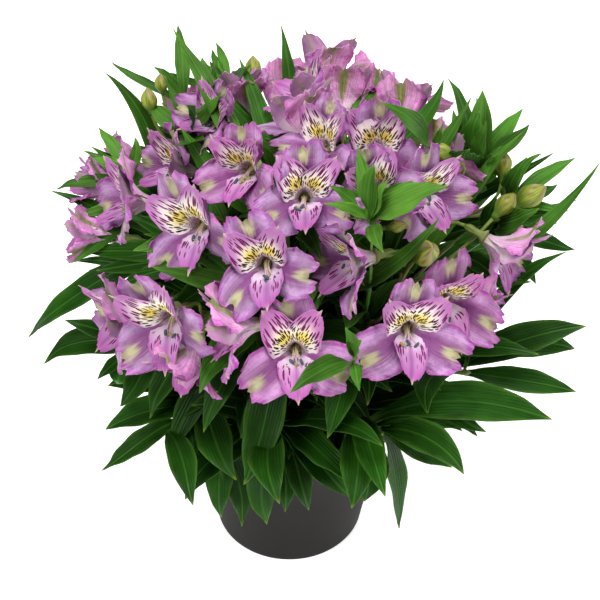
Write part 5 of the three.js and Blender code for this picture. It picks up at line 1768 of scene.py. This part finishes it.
for index, row in enumerate(blooms):
    name, openness = row[0], row[7]
    bloom = find_bloom(index)
    facing, upright, right, base = bloom
    seat = base - facing * BLOOM_SEAT
    neck = seat - facing * OVARY_LENGTH
    curve = stalk_curve(name, neck, facing, seat - facing * OVARY_LENGTH / 2)
    stem_paths[name].append(pedicel_path(curve))
    points, faces, tint = ribbed_ovary(neck, facing, right)
    stem_skins[name].take(points, faces, 2, tint)

    chance = np.random.default_rng(500 + index)
    nod, gather = postures.get(index + 1, (USUAL_NOD, chance.uniform(*USUAL_GATHER)))
    nodded = (turned_about(facing, right, nod), turned_about(upright, right, nod), right, base)
    pale = chance.uniform(0, PALENESS) + PALENESS * (index + 1 in PALE_BLOOMS)
    own = blend(lilac, violet, pale) * chance.uniform(*BLOOM_BRIGHTNESS)
    if index + 1 in PINK_BLOOMS:
        own = blend(own, linear("#C86FB2"), 0.45)
    blush = chance.uniform(-0.03, 0.07) + 0.05 * (index + 1 in PINK_BLOOMS)
    skin = Skin()
    skin.take(*bloom_core(seat, facing, right))
    for place in tepal_ring:
        kind, outer_side = place[0], place[3]
        front, t = tepal_grid(place, openness, nodded, gather, chance)
        back = front - grid_normals(front) * TEPAL_THICKNESS
        u, v = tepal_u * outer_side, tepal_v
        look = {"blush": blush} if kind == "upper" else {}
        front_tint, back_tint, marks = colourings[kind](u, v, blend(own, *leanings[kind]), **look)
        # Painted light: the outsides of back-facing blooms are made brighter
        if facing[1] > FACES_BACK and kind == "outer":
            back_tint = np.minimum(back_tint * PAINTED_BACK_LIGHT, 1)
        length = curve_length(midrib_corners(tepal_kinds[kind][0], openness, CLAW_FLARE), 20)
        lane = u * DASH_LANES + chance.uniform(0, 90)
        along = t * length / DASH_SPACING + chance.uniform(0, 90)
        lanes = np.stack([lane, along], axis=-1)
        skin.take(
            np.stack([front, back]).reshape(-1, 3),
            tepal_faces,
            1 if kind == "outer" else 2,
            np.stack([front_tint, back_tint]).reshape(-1, 3),
            np.stack([lanes, lanes]).reshape(-1, 2),
            np.stack([marks, 0 * marks]).reshape(-1, 3),
        )
    stamens = stamen_paths(openness, nodded, chance)
    skin.take_mesh(stalk_mesh(stamens, STAMEN_SIDES, pollen), 3)
    tissues = [bud_tissue, outer_tissue, inner_tissue, pollen]
    mesh = skin.finished(f"bloom_skin_{index + 1:02d}", tissues)
    piece = show(f"bloom_dressed_{index + 1:02d}", mesh)
    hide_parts(f"bloom_{index + 1:02d}")

for name in stem_names:
    skin = stem_skins[name]
    skin.take_mesh(stalk_mesh(stem_paths[name], STALK_SIDES, stem_tissue), 0)
    tissues = [stem_tissue, leaf_blade, bud_tissue]
    piece = show("stem_dressed_" + name, skin.finished("stem_skin_" + name, tissues))
    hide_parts("stem_" + name)

# Floor
# A plain pale sweep of matte paper, wide enough for every view, for the plant to
# stand on, and lit from within so that it stays white. It isn't part of the object.
FLOOR_HALF = 6
FLOOR_GLOW = 0.65
paper, tree, shader = start_material("matte_white_paper", Roughness=0.9)
place = add(tree, "ShaderNodeTexCoord").outputs["Object"]
fibres = add(tree, "ShaderNodeTexNoise", {"Vector": place, "Scale": 900.0, "Detail": 2.0})
tone = add(
    tree,
    "ShaderNodeMix",
    {0: fibres.outputs["Fac"], 6: linear("#F7F7F7"), 7: linear("#FCFCFC")},
    data_type="RGBA",
)
tree.links.new(tone.outputs[2], shader.inputs["Base Color"])
shader.inputs["Emission Color"].default_value = (1, 1, 1, 1)
shader.inputs["Emission Strength"].default_value = FLOOR_GLOW
floor_mesh = bpy.data.meshes.new("floor")
corners = [(x * FLOOR_HALF, y * FLOOR_HALF, 0) for x, y in ((-1, -1), (1, -1), (1, 1), (-1, 1))]
floor_mesh.from_pydata(corners, [], [[0, 1, 2, 3]])
floor_mesh.materials.append(paper)
floor = bpy.data.objects.new("floor", floor_mesh)
bpy.context.scene.collection.objects.link(floor)
floor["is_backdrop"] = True

# Light and camera
# Soft studio light: a dim white room all round, and four large box lights, the
# strongest above, then left, behind and right. The camera looks down by 44 degrees.
ROOM_LIGHT = 0.1
AIMED_AT = (0, 0, 0.25)
# Name, place, watts and side in metres
lamps = (
    ("box_light_left", (-1.0, -1.1, 1.6), 22, 0.7),
    ("box_light_right", (1.3, -0.9, 1.3), 12, 0.8),
    ("box_light_behind", (0.5, 1.5, 1.3), 14, 1.0),
    ("box_light_above", (0.05, -0.15, 2.3), 38, 1.0),
)
world = bpy.data.worlds.new("bright_room")
world.use_nodes = True
world.node_tree.nodes["Background"].inputs[0].default_value = (1, 1, 1, 1)
world.node_tree.nodes["Background"].inputs[1].default_value = ROOM_LIGHT
bpy.context.scene.world = world
for name, place, energy, size in lamps:
    light = bpy.data.lights.new(name, "AREA")
    light.energy, light.size = energy, size
    lamp = bpy.data.objects.new(name, light)
    bpy.context.scene.collection.objects.link(lamp)
    lamp.location = place
    towards = np.array(AIMED_AT) - np.array(place)
    lamp.rotation_euler = (
        math.atan2(math.hypot(towards[0], towards[1]), -towards[2]),
        0,
        math.atan2(-towards[0], towards[1]),
    )

lens = bpy.data.cameras.new("camera")
lens.sensor_width, lens.lens = CAMERA_SENSOR, CAMERA_LENS
camera = bpy.data.objects.new("camera", lens)
bpy.context.scene.collection.objects.link(camera)
camera.location = (
    CAMERA_TARGET[0],
    CAMERA_TARGET[1] - CAMERA_DISTANCE * math.cos(tilt),
    CAMERA_TARGET[2] + CAMERA_DISTANCE * math.sin(tilt),
)
camera.rotation_euler = (math.radians(90) - tilt, 0, 0)
bpy.context.scene.camera = camera
bpy.context.scene.view_settings.view_transform = "Standard"

low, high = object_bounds()
